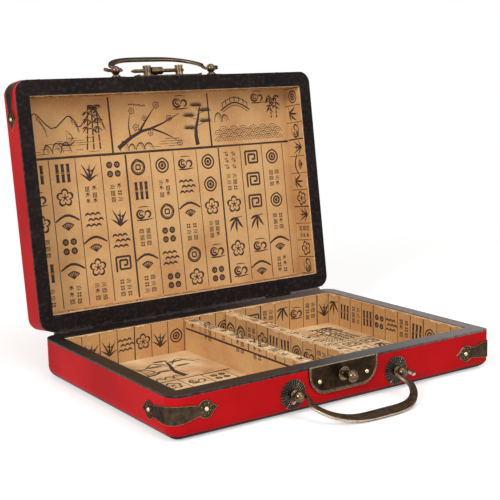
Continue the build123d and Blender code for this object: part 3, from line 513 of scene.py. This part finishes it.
INK, INK_DRY = "#2A1A16", "#4A332A"
FILM = 0.05  # an ink stroke's thickness as a share of its width
WALL_PAPER = 0.5
FLOOR_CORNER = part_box("tray_panel_lining")[1]
HALF_WIDTH = FLOOR_CORNER.x / MM - WALL_PAPER  # from the middle to the walls' linings
HALF_DEPTH = FLOOR_CORNER.y / MM - WALL_PAPER

ink, tree = material_tree("wood_block_ink")  # matt, and a paler brown where the block was dry
place = add(tree, "TexCoord").outputs["Object"]
dryness = add(tree, "TexNoise", {"Vector": place, "Scale": 1 / (2.5 * MM), "Detail": 5.0}).outputs[0]
inks = {"Factor": dryness, "A": linear(INK), "B": linear(INK_DRY)}
tint = add(tree, "Mix", inks, data_type="RGBA").outputs["Result"]
shader = add(tree, "BsdfPrincipled", {"Base Color": tint, "Roughness": 0.8, "IOR": 1.45}).outputs[0]
add(tree, "OutputMaterial", {"Surface": shader})


def brush(width, *points, taper=(0.45, 1.0, 0.3)):
    """A stroke through points: its width at the start, the middle and the end are taper's shares."""
    last = len(points) - 1
    stroke = []
    for step, (x, y) in enumerate(points):
        along = 2 * step / last
        low, high = (taper[0], taper[1]) if along <= 1 else (taper[1], taper[2])
        stroke.append((x, y, width / 2 * (low + (high - low) * (along - (along > 1)))))
    return stroke


def arc(x, y, radius, start, stop, width, taper=(1.0, 1.0, 1.0)):
    """A curved stroke about (x, y), its angles in degrees."""
    steps = max(3, round(abs(stop - start) / 45))
    turns = [radians(start + (stop - start) * step / steps) for step in range(steps + 1)]
    return brush(width, *((x + radius * cos(a), y + radius * sin(a)) for a in turns), taper=taper)


def rule(x0, y0, x1, y1, width):
    """A ruled line with the slight waver of a cut wood block."""
    count = max(3, round(hypot(x1 - x0, y1 - y0) / 22))
    line = []
    for step in range(count + 1):
        along = step / count
        waver = chance.uniform(-0.12, 0.12)
        swell = width / 2 * chance.uniform(0.8, 1.15)
        line.append((x0 + (x1 - x0) * along + waver, y0 + (y1 - y0) * along - waver, swell))
    return line


def leaf(x, y, lean, length, width):
    """A pointed leaf, lean degrees from upright."""
    dx, dy = sin(radians(lean)), cos(radians(lean))
    bend = length * 0.07
    points = ((0, 0), (0.35, bend), (0.7, bend), (1, 0))
    spine = ((x + dx * length * t + dy * b, y + dy * length * t - dx * b) for t, b in points)
    return brush(width, *spine, taper=(0.2, 1.0, 0.06))


MOTIF_SIZE = 15  # a motif is drawn about (0, 0), to fit this width and height at a scale of 1


def dots_motif():
    return [arc(0, 0, 6.2, 80, 440, 1.0), arc(0, 0, 3.2, 0, 360, 1.2), arc(0, 0, 0.6, 0, 360, 1.4)]


def four_dots_motif():
    spots = [(x, y) for x in (-3.4, 3.4) for y in (-3.6, 3.6)]
    rings = [arc(x, y, 2.1, 30, 390, 1.2) for x, y in spots]
    return rings + [arc(x, y, 0.3, 0, 360, 0.9) for x, y in spots]


def bamboo_motif():
    strokes = []
    for x in (-4.6, 0, 4.6):
        for low, high in ((-7.2, -0.7), (0.7, 7.2)):
            strokes.append(brush(2.0, (x, low), (x, (low + high) / 2), (x, high), taper=(1.1, 0.7, 1.1)))
        strokes.append(brush(0.9, (x - 1.6, 0), (x, 0.1), (x + 1.6, 0)))
    return strokes


def blossom_motif():
    strokes = []
    for turn in range(5):
        lean = radians(90 + 72 * turn)
        x, y = 4.0 * cos(lean), 4.0 * sin(lean)
        strokes.append(arc(x, y, 2.7, degrees(lean) - 125, degrees(lean) + 125, 1.1, (0.4, 1.3, 0.4)))
        strokes.append(brush(0.6, (0, 0), (x * 0.4, y * 0.4), (x * 0.75, y * 0.75), taper=(1, 0.8, 1.4)))
    return strokes + [arc(0, 0, 0.5, 0, 360, 1.2)]


def spray_motif():
    blades = ((150, 11), (185, 13), (215, 14), (250, 9))
    strokes = [leaf(1.5, 7.5, lean, length, 2.3) for lean, length in blades]
    return strokes + [brush(0.9, (6.5, 8), (2.5, 7.4), (-1.5, 7.2))]


def orchid_motif():
    strokes = []
    for lean, reach in ((-52, 10), (-25, 15), (4, 13), (30, 14), (60, 9)):
        dx, dy = sin(radians(lean)) * reach, cos(radians(lean)) * reach
        blade = ((0, -7.5), (dx * 0.35, dy * 0.6 - 7.5), (dx, dy - 7.5))
        strokes.append(brush(1.8, *blade, taper=(0.5, 1.0, 0.08)))
    return strokes + [leaf(1, 0, 70, 4, 1.6), leaf(1, 0, -60, 3.5, 1.6)]


def cloud_motif():
    return [
        arc(-3, 0, 3.6, 20, 330, 1.3, (0.3, 1.2, 1.0)),
        arc(-2.6, 0.4, 1.6, 330, 40, 1.0, (1.0, 1.0, 0.4)),
        arc(3.4, -0.4, 2.8, 200, -90, 1.2, (0.4, 1.2, 0.8)),
        brush(1.3, (-7, -4.6), (0, -5.4), (7.4, -4.2)),
        brush(0.9, (-4.5, 5.6), (0, 6.4), (5, 5.4)),
    ]


def waves_motif():
    strokes = []
    for row, y in enumerate((-6, -1.6, 2.8)):
        for x in (-4.4, 0.0, 4.4):
            shift = 2.2 * (row % 2)
            strokes.append(arc(x - 1.1 + shift, y, 2.3, 170, 10, 1.2, (0.4, 1.2, 0.4)))
    return strokes


def coin_motif():
    side = ((-1.9, -1.9), (1.9, -1.9), (1.9, 1.9), (-1.9, 1.9))
    square = [brush(0.9, side[k], side[(k + 1) % 4], taper=(1, 1, 1)) for k in range(4)]
    return [arc(0, 0, 6.4, 100, 460, 1.1), arc(0, 0, 5.0, 0, 360, 0.5)] + square


def fret_motif():
    turns = ((-6.5, -6), (-6.5, 6), (6, 6), (6, -4), (-3.4, -4))
    turns += ((-3.4, 3.2), (3.2, 3.2), (3.2, -1), (0, -1))
    return [brush(1.25, turns[k], turns[k + 1], taper=(1, 1, 1)) for k in range(len(turns) - 1)]


def fan_motif():
    tips = [(sin(radians(lean)) * 6, cos(radians(lean)) * 6 - 6.5) for lean in range(-50, 51, 20)]
    ribs = [brush(0.8, (0, -6.5), tip, taper=(0.5, 1, 1)) for tip in tips]
    return ribs + [arc(0, -6.5, 12.5, 145, 35, 1.5, (0.6, 1.2, 0.6)), arc(0, -6.5, 6.2, 145, 35, 0.8)]


def tally_motif():
    strokes = []
    for x in (-3.6, 3.6):
        for y in (6, 0.5, -5):
            lean = chance.uniform(-0.6, 0.6)
            strokes.append(brush(1.0, (x - 2, y + lean), (x + 2, y + 0.5)))
            strokes.append(brush(0.9, (x - 0.3, y - 2.6), (x + lean, y + 1.6)))
            strokes.append(arc(x + 1.3, y - 1.6, 0.7, 200, 480, 0.7))
    return strokes


MOTIFS = (
    blossom_motif, bamboo_motif, orchid_motif, four_dots_motif, spray_motif, coin_motif,
    cloud_motif, dots_motif, fret_motif, fan_motif, waves_motif, tally_motif,
)


def moved(strokes, x, y, scale=1.0, turn=0.0, weight=1.0):
    """Strokes scaled, turned in degrees and put at (x, y); weight thickens them."""
    across, along = cos(radians(turn)) * scale, sin(radians(turn)) * scale
    thick = scale * weight
    return [
        [(x + px * across - py * along, y + px * along + py * across, r * thick) for px, py, r in stroke]
        for stroke in strokes
    ]


def small_pair(x, y):
    """Two short columns of small ticks and dots, side by side."""
    strokes = []
    for side in (-3.6, 3.6):
        for row in range(3):
            mark = chance.choice((four_dots_motif, spray_motif, waves_motif, fret_motif, bamboo_motif))
            strokes += moved(mark(), x + side, y + 6.0 - 6.0 * row, 0.34, 0, 1.5)
    return strokes


def print_sheets(name, body, sheets):
    """Lays strokes on their papers: sheets are pairs of a paper's place and its strokes, in mm."""
    film = bmesh.new()
    for place, strokes in sheets:
        lines = bpy.data.curves.new(name, "CURVE")
        lines.dimensions = "3D"
        lines.bevel_depth = 1.0
        lines.bevel_resolution = 0  # a stroke is a four-sided tube, pressed flat below
        lines.use_fill_caps = True
        lines.resolution_u = 2
        for stroke in strokes:
            spline = lines.splines.new("NURBS")
            spline.points.add(len(stroke) - 1)
            for point, (x, y, radius) in zip(spline.points, stroke):
                point.co = (x, y, 0, 1)
                point.radius = radius
            spline.order_u = min(3, len(stroke))
            spline.use_endpoint_u = True
        loose = bpy.data.objects.new(name, lines)
        flat = bpy.data.meshes.new_from_object(loose)
        flat.transform(place @ Matrix.Diagonal((MM, MM, MM * FILM, 1)))
        film.from_mesh(flat)
        bpy.data.objects.remove(loose)
        bpy.data.meshes.remove(flat)
        bpy.data.curves.remove(lines)
    printed = new_object(name, film, ink)
    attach(printed, body)


def paper_place(origin, right, up):
    """Where a paper lies: its origin in mm, and which ways its right and its top point."""
    right, up = Vector(right), Vector(up)
    turn = Matrix((right, up, right.cross(up))).transposed().to_4x4()
    return Matrix.Translation(Vector(origin) * MM) @ turn


chance = random.Random(11)


# ---- Lid panel print ----
# Ruled columns of motifs under a band of three pictures, on the sheet pasted to the lid's panel: a lake
# with hills and bamboo, a plum branch and a pine, and a footbridge over a pattern of waves.

SHUT_LID_LINING = 63.7  # the height of the panel's lining when the case is shut
DEEP = 2 * HALF_DEPTH
BAND_LOW = 139.0  # the picture band's lower rule on the lid
PANELS = (-58.0, 52.0)  # the band's upright rules
COLUMN_PITCH = 26.2
MARGIN = 10.0  # from the left wall to the first column
MOTIF_SCALE = 1.18
MOTIF_ROOM = 18.5 * MOTIF_SCALE  # the height that a motif takes in a column


def column(x, low, high):
    """Motifs one under another down a column, with pairs of small marks between some of them."""
    strokes = []
    count = max(1, round((high - low) / MOTIF_ROOM))
    for place in range(count):
        y = high - (place + 0.5) * (high - low) / count
        if place % 2 and chance.random() < 0.4:
            strokes += small_pair(x, y)
        else:
            motif = chance.choice(MOTIFS)()
            strokes += moved(motif, x + chance.uniform(-0.8, 0.8), y, MOTIF_SCALE, 0, 1.35)
    return strokes


def hills(x0, x1, base, height, count):
    """A range of hills with a few strokes of shade down each slope."""
    step = (x1 - x0) / count
    line, shade = [(x0, base)], []
    for k in range(count):
        peak = height * chance.uniform(0.55, 1.0)
        x = x0 + step * (k + chance.uniform(0.35, 0.65))
        line += [(x - step * 0.22, base + peak * 0.72), (x, base + peak)]
        line += [(x + step * 0.25, base + peak * 0.6), (x0 + step * (k + 1), base + height * 0.12)]
        for fall in range(7):
            top = (x + 1.0 + 1.3 * fall, base + peak * (0.9 - 0.1 * fall))
            foot = (top[0] + chance.uniform(0.5, 2.5), top[1] - peak * chance.uniform(0.2, 0.4))
            shade.append(brush(0.9, top, ((top[0] + foot[0]) / 2 - 0.5, (top[1] + foot[1]) / 2), foot))
    return [brush(1.2, *line, taper=(0.8, 1.0, 0.8))] + shade


def grove(x, base, stems, height):
    """Bamboo: jointed stems and drooping leaves."""
    strokes = []
    for k in range(stems):
        foot = x + k * 6.5 + chance.uniform(-1, 1)
        lean = chance.uniform(-0.08, 0.12)
        joint = height * chance.uniform(0.14, 0.19)
        y = base
        while y < base + height:
            top = min(y + joint, base + height)
            ends = ((foot + lean * (y - base), y + 0.5), (foot + lean * (top - base), top - 0.4))
            strokes.append(brush(1.5, *ends, taper=(1, 0.8, 1)))
            y = top
            if y > base + 0.4 * height:
                for _ in range(3):
                    droop = chance.choice((-1, 1)) * chance.uniform(95, 150)
                    strokes.append(leaf(ends[1][0], y, droop, chance.uniform(5, 8), 1.7))
    return strokes


def branch(x, y, reach, rise):
    """A plum branch in flower."""
    limbs = (  # width, then points as shares of the reach and the rise
        (3.4, (0, 0), (0.3, 0.5), (0.6, 0.55), (1, 1)),
        (2.0, (0.35, 0.5), (0.5, 0.95), (0.62, 1.25)),
        (1.8, (0.55, 0.55), (0.8, 0.35), (0.95, 0.1)),
        (1.4, (0.2, 0.35), (0.16, 0.8), (0.24, 1.1)),
    )
    strokes = []
    for width, *points in limbs:
        spine = ((x + reach * along, y + rise * lift) for along, lift in points)
        strokes.append(brush(width, *spine, taper=(1.2, 0.8, 0.2)))
    flowers = (  # shares of the reach and the rise, then size
        (0.3, 0.62, 0.5), (0.52, 0.42, 0.44), (0.64, 1.3, 0.5), (0.83, 0.86, 0.46),
        (0.97, 0.05, 0.44), (0.25, 1.15, 0.44), (0.44, 0.9, 0.38),
    )
    for along, lift, size in flowers:
        strokes += moved(blossom_motif(), x + reach * along, y + rise * lift, size, 40 * along, 1.3)
    return strokes


def pine(x, base, height):
    """A leaning pine with flat fans of needles."""
    points = ((0, 0), (-0.06, 0.35), (0.1, 0.7), (0.16, 1))
    trunk = [(x + dx * height, base + dy * height) for dx, dy in points]
    strokes = [brush(3.4, *trunk, taper=(1.4, 0.9, 0.3))]
    for share, side in ((0.42, -1), (0.58, 1), (0.74, -1), (0.86, 1), (1.0, 0)):
        tuft_x, tuft_y = x + (0.05 + 0.24 * side) * height, base + height * share
        strokes.append(brush(1.3, (x + 0.05 * height, tuft_y - 3), (tuft_x, tuft_y)))
        for spread in (-3.5, 0, 3.5):
            for lean in range(-75, 76, 25):
                strokes.append(leaf(tuft_x + spread, tuft_y, lean, 5.0, 1.1))
    return strokes


def boat():
    """A small sailing boat with a ribbed sail."""
    ribs = [brush(0.6, (0.8, y), (6.3, y - 1.2)) for y in (4, 6.5, 9)]
    return ribs + [
        brush(1.9, (-9, 0.8), (-4, -2.2), (4, -2.4), (9, 1.2)),
        brush(0.8, (-8, 0.6), (0, -0.4), (8, 1.0)),
        brush(0.9, (0, -1), (0, 13)),
        brush(1.0, (0.8, 12.5), (6.5, 8), (7, 2), (0.8, 1.2)),
    ]


def footbridge(x, y, span):
    """An arched bridge with its posts and plank lines."""
    low, outer, inner = y - span * 0.35, span * 0.62, span * 0.54
    strokes = [arc(x, low, outer, 145, 35, 1.5), arc(x, low, inner, 145, 35, 0.8)]
    for lean in range(45, 136, 15):
        foot = (x + cos(radians(lean)) * outer, low + sin(radians(lean)) * outer)
        strokes.append(brush(0.9, foot, (foot[0], foot[1] + 5), taper=(1, 1, 1)))
    return strokes + [arc(x, low + 5, outer, 138, 42, 0.8)]


def rocks(x, base, count):
    """Rocks drawn as bent outlines with hatched sides."""
    strokes = []
    for k in range(count):
        left, wide, tall = x + k * 8.5, chance.uniform(8, 12), chance.uniform(6, 12)
        top = left + wide * chance.uniform(0.3, 0.6)
        rise = ((left, base), (left + 1, base + tall * 0.6), (top, base + tall))
        fall = ((left + wide * 0.85, base + tall * 0.55), (left + wide, base))
        strokes.append(brush(1.4, *rise, *fall))
        for hatch in range(6):
            start = (top + hatch * wide * 0.07, base + tall * (0.85 - 0.11 * hatch))
            strokes.append(brush(0.9, start, (start[0] - 1.2, start[1] - tall * 0.3)))
    return strokes


def birds(x, y, count):
    """Far birds, two short curves each."""
    strokes = []
    for k in range(count):
        at_x, at_y = x + 6 * k, y + chance.uniform(-3, 3)
        strokes += [arc(at_x - 1.6, at_y, 1.7, 160, 20, 0.8), arc(at_x + 1.6, at_y, 1.7, 160, 20, 0.8)]
    return strokes


def ripples(x0, x1, y0, y1, rows):
    """Water: short level strokes."""
    strokes = []
    for row in range(rows):
        y = y0 + (y1 - y0) * row / max(1, rows - 1)
        for _ in range(max(3, round((x1 - x0) / 22))):
            x = chance.uniform(x0, x1 - 12)
            length = chance.uniform(6, 12)
            middle = (x + length / 2, y + chance.uniform(-0.5, 0.5))
            strokes.append(brush(0.8, (x, y), middle, (x + length, y)))
    return strokes


def scales(x0, x1, y0, y1, radius):
    """Overlapping wave scales, the old sea pattern."""
    strokes = []
    row, y = 0, y0
    while y + radius <= y1:
        x = x0 + radius * (1 + row % 2)
        while x + radius <= x1 + 0.1:
            for share in (1.0, 0.62, 0.28):
                strokes.append(arc(x, y, radius * share, 170, 10, 0.55))
            x += 2 * radius
        row, y = row + 1, y + radius * 0.55
    return strokes


strokes = [rule(-HALF_WIDTH + 1, BAND_LOW, HALF_WIDTH - 1, BAND_LOW, 2.2)]
strokes += [rule(x, BAND_LOW, x, DEEP - 1, 1.8) for x in PANELS]
for k in range(12):
    x = -HALF_WIDTH + MARGIN + (k - 0.5) * COLUMN_PITCH
    if k:
        strokes.append(rule(x, 1, x, BAND_LOW - 1.5, 0.8 if k % 4 else 1.7))
    if x + COLUMN_PITCH < HALF_WIDTH:
        strokes += column(x + COLUMN_PITCH / 2, 1, BAND_LOW - 3)
strokes += hills(-HALF_WIDTH + 4, -64, 160, 28, 3) + ripples(-HALF_WIDTH + 6, -70, 143, 156, 7)
strokes += grove(-84, 144, 3, 42) + rocks(-128, 143, 3) + moved(boat(), -104, 152, 0.9, 0, 1.2)
strokes += branch(-52, 144, 70, 30) + rocks(-50, 141, 4) + pine(36, 142, 38) + birds(-34, 183, 3)
strokes += ripples(-14, 28, 143, 150, 4) + moved(cloud_motif(), 20, 184, 1.2, 0, 1.2)
strokes += scales(56, HALF_WIDTH - 4, 143, 162, 6.0) + footbridge(84, 174, 34) + rocks(58, 163, 2)
strokes += grove(128, 164, 2, 24) + moved(cloud_motif(), 112, 186, 1.1, 0, 1.2)

lid_sheet = OPENED @ paper_place((0, HALF_DEPTH, SHUT_LID_LINING), (1, 0, 0), (0, -1, 0))
print_sheets("lid_panel_print", "lid", [(lid_sheet, strokes)])


# ---- Wall prints ----
# A strip of paper goes round the walls of each half, from its panel to just under the rim trim. Its
# print is a frieze: one motif, or one pair of small columns, between each two rules.

WALLS = (  # which way a wall lies from the middle, and the way its print's columns run
    ((0, 1, 0), (1, 0, 0)),
    ((0, -1, 0), (-1, 0, 0)),
    ((1, 0, 0), (0, -1, 0)),
    ((-1, 0, 0), (0, 1, 0)),
)
WALL_PITCH = 17.5
LARGEST, MOTIF_HIGH = 1.05, 19  # a frieze's largest scale, and what a motif and its gap take at 1
LID_RIM = 35.9  # the lid's rim when the case is shut
TRAY_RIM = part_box("tray_rim_trim")[1].z / MM
FLOOR_TOP = FLOOR_CORNER.z / MM
TRIM = 0.8  # the rim trim's thickness, past which no paper shows


def frieze(width, height, pitch, low=0.0):
    """A wall's print: columns between rules from the left, one motif or one pair of marks in each."""
    strokes = []
    middle = (low + height) / 2
    scale = min(LARGEST, (height - low) / MOTIF_HIGH)
    for k in range(int(width / pitch) + 1):
        x = k * pitch - width / 2
        strokes.append(rule(x, low, x, height, 0.75 if k % 4 else 1.3))
        spot = x + pitch / 2
        if spot + pitch / 3 > width / 2:
            continue
        if chance.random() < 0.22:
            strokes += small_pair(spot, middle)
        else:
            strokes += moved(chance.choice(MOTIFS)(), spot, middle, scale, chance.uniform(-3, 3), 1.3)
    return strokes


def wall_sheets(low, high, opened=Matrix.Identity(4)):
    """The four walls' prints between two heights."""
    sheets = []
    for out, right in WALLS:
        length = 2 * (HALF_WIDTH if out[1] else HALF_DEPTH)
        origin = (out[0] * HALF_WIDTH, out[1] * HALF_DEPTH, low)
        wall = opened @ paper_place(origin, right, (0, 0, 1))
        sheets.append((wall, frieze(length, high - low, WALL_PITCH)))
    return sheets


print_sheets("lid_wall_print", "lid", wall_sheets(LID_RIM + TRIM, SHUT_LID_LINING, OPENED))
print_sheets("tray_wall_print", "tray", wall_sheets(FLOOR_TOP, TRAY_RIM - TRIM))


# ---- Tray floor print ----
# One sheet lies on the tray's floor. Each wide compartment has a picture at the back and ruled columns
# at the front, and the narrow one between the dividers has columns alone.

LEFT_RULE, RIGHT_RULE = 20, 28  # where the floor's pictures end and its columns start
LEFT_EDGE, RIGHT_EDGE = -25, 32  # the wide compartments' edges beside the dividers
FLOOR_PITCH = 23.0
NARROW_COLUMNS, NARROW_RULE = (-4.5, 13.5), 4.2

floor_print = [rule(-HALF_WIDTH + 1, LEFT_RULE, LEFT_EDGE, LEFT_RULE, 2.0)]
floor_print += [rule(RIGHT_EDGE, RIGHT_RULE, HALF_WIDTH - 1, RIGHT_RULE, 2.0)]
pictures = hills(-HALF_WIDTH + 4, -30, 58, 30, 4) + ripples(-HALF_WIDTH + 6, -34, 24, 54, 8)
pictures += pine(-66, 26, 50) + rocks(-104, 24, 4) + moved(boat(), -92, 46, 1.5, 0, 1.2)
pictures += scales(36, HALF_WIDTH - 4, 30, 56, 7.0) + hills(36, 140, 62, 28, 3)
pictures += rocks(70, 56, 5) + grove(116, 32, 4, 50) + birds(50, 92, 3) + branch(36, 58, 40, 22)
floor_print += moved(pictures, 0, 0, 1, 0, 1.25)
for start, back in ((-HALF_WIDTH, LEFT_RULE), (RIGHT_EDGE - 0.5, RIGHT_RULE)):
    for k in range(5):
        x = start + (k + 0.5) * FLOOR_PITCH
        floor_print += column(x, -HALF_DEPTH, back - 2)
        x += FLOOR_PITCH / 2
        floor_print.append(rule(x, 1 - HALF_DEPTH, x, back, 0.9))
for x in NARROW_COLUMNS:
    floor_print += column(x, -HALF_DEPTH, HALF_DEPTH - 2)
floor_print.append(rule(NARROW_RULE, -HALF_DEPTH + 1, NARROW_RULE, HALF_DEPTH - 1, 0.9))
floor_sheet = paper_place((0, 0, FLOOR_TOP), (1, 0, 0), (0, 1, 0))
print_sheets("tray_floor_print", "tray", [(floor_sheet, floor_print)])


# ---- Divider prints ----
# Each divider's paper is folded over its top, so its sides carry a frieze and its crest a row of
# motifs. The left one's outer side is plain kraft below the rule where the crest's print ends.

FLAP = 7.5  # how far the crest's print runs down the left divider's plain side, to a dark rule
CREST_PITCH = 16.2

divider_sheets = []
for name, plain_side in (("left_divider_paper", -1), ("right_divider_paper", 0)):
    low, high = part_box(name)
    length, top = (high.y - low.y) / MM, (high.z - FLOOR_TOP * MM) / MM
    for side, edge in ((-1, low.x / MM), (1, high.x / MM)):
        face = paper_place((edge, 0, FLOOR_TOP), (0, side, 0), (0, 0, 1))
        if side == plain_side:
            flap = [rule(1 - length / 2, top - FLAP, length / 2 - 1, top - FLAP, 1.7)]
            flap += frieze(length, top - 0.5, 1.5 * WALL_PITCH, top - FLAP + 0.5)
            divider_sheets.append((face, flap))
        else:
            divider_sheets.append((face, frieze(length, top, WALL_PITCH)))
    middle, wide = (low.x + high.x) / 2 / MM, (high.x - low.x) / MM
    crest = paper_place((middle, 0, high.z / MM), (0, 1, 0), (-1, 0, 0))
    marks = []
    for k in range(12):
        spot = CREST_PITCH * k - length / 2 + 8
        marks += moved(chance.choice(MOTIFS)(), spot, 0, wide / MOTIF_SIZE, 90 * (k % 2), 1.5)
        spot += CREST_PITCH / 2
        marks.append(rule(spot, -wide / 2 + 0.4, spot, wide / 2 - 0.4, 0.9))
    divider_sheets.append((crest, marks))
print_sheets("divider_print", "tray", divider_sheets)


# ---- Frayed paper ----
# Where the linings end below the rims and along the dividers' top edges the paper is torn rather
# than cut, so a pale ragged lip of its core stands a little off the wall.

TORN = "#F0D8AE"
TEAR = 1.7  # in mm, along the edge
LIP_WIDTH, LIP_STAND, LIP_LIFT = 2.8, 0.7, 0.06  # how far a lip reaches down, out, and out at its root
LIP_WAVES = 5.5, 13  # in mm, over which a lip widens and narrows
PAPER_THICK = 0.12 * MM

torn_paper, tree = material_tree("torn_kraft_edge")  # fuzzy and matt, pale where the core shows
place = add(tree, "TexCoord").outputs["Object"]
fuzz = add(tree, "TexNoise", {"Vector": place, "Scale": 1 / (1.2 * MM), "Detail": 5.0}).outputs[0]
tans = {"Factor": fuzz, "A": linear(TORN), "B": linear(KRAFT_DARK)}
tan = add(tree, "Mix", tans, data_type="RGBA").outputs["Result"]
shader = add(tree, "BsdfPrincipled", {"Base Color": tan, "Roughness": 0.9, "IOR": 1.45}).outputs[0]
add(tree, "OutputMaterial", {"Surface": shader})


def frayed(name, body, edges):
    """Ragged lips: edges are pairs of a place, whose X runs along the edge, and the edge's length."""
    lip = bmesh.new()
    for place, length in edges:
        steps = round(length / TEAR)
        strip = bmesh.new()
        bmesh.ops.create_grid(strip, x_segments=steps, y_segments=2, size=0.5)
        for vertex in strip.verts:
            across = vertex.co.y + 0.5
            along = vertex.co.x * length
            patch = 0.6 + 0.4 * sin(along / LIP_WAVES[0] + 3 * sin(along / LIP_WAVES[1]))
            ragged = across * chance.uniform(0.25, 1.0) ** 1.5 * patch
            stand = across * chance.uniform(0.1, 1.0)
            vertex.co = (along, -LIP_WIDTH * ragged, LIP_LIFT + LIP_STAND * stand)
        bmesh.ops.transform(strip, matrix=place @ Matrix.Scale(MM, 4), verts=strip.verts)
        loose = bpy.data.meshes.new(name)
        strip.to_mesh(loose)
        strip.free()
        lip.from_mesh(loose)
        bpy.data.meshes.remove(loose)
    torn = new_object(name, lip, torn_paper)
    sheet = torn.modifiers.new("paper", "SOLIDIFY")
    sheet.thickness = PAPER_THICK
    sheet.offset = 1.0
    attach(torn, body)


def wall_edges(height, up, opened=Matrix.Identity(4)):
    """The four wall linings' edges at a height; up is 1 where the half opens upwards, else -1."""
    edges = []
    for out, right in WALLS:
        length = 2 * (HALF_WIDTH if out[1] else HALF_DEPTH) - 1
        origin = (out[0] * HALF_WIDTH, out[1] * HALF_DEPTH, height)
        wall = opened @ paper_place(origin, [up * way for way in right], (0, 0, up))
        edges.append((wall, length))
    return edges


frayed("tray_torn_edges", "tray", wall_edges(TRAY_RIM - TRIM - 0.1, 1))
frayed("lid_torn_edges", "lid", wall_edges(LID_RIM + TRIM + 0.1, -1, OPENED))

divider_edges = []
for name in ("left_divider_paper", "right_divider_paper"):
    low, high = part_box(name)
    for side, edge in ((-1, low.x / MM), (1, high.x / MM)):
        length = (high.y - low.y) / MM - 1
        corner = (edge, 0, high.z / MM)
        divider_edges.append((paper_place(corner, (0, side, 0), (0, 0, 1)), length))
        divider_edges.append((paper_place(corner, (0, -side, 0), (side, 0, 0)), length))
frayed("divider_torn_edges", "tray", divider_edges)
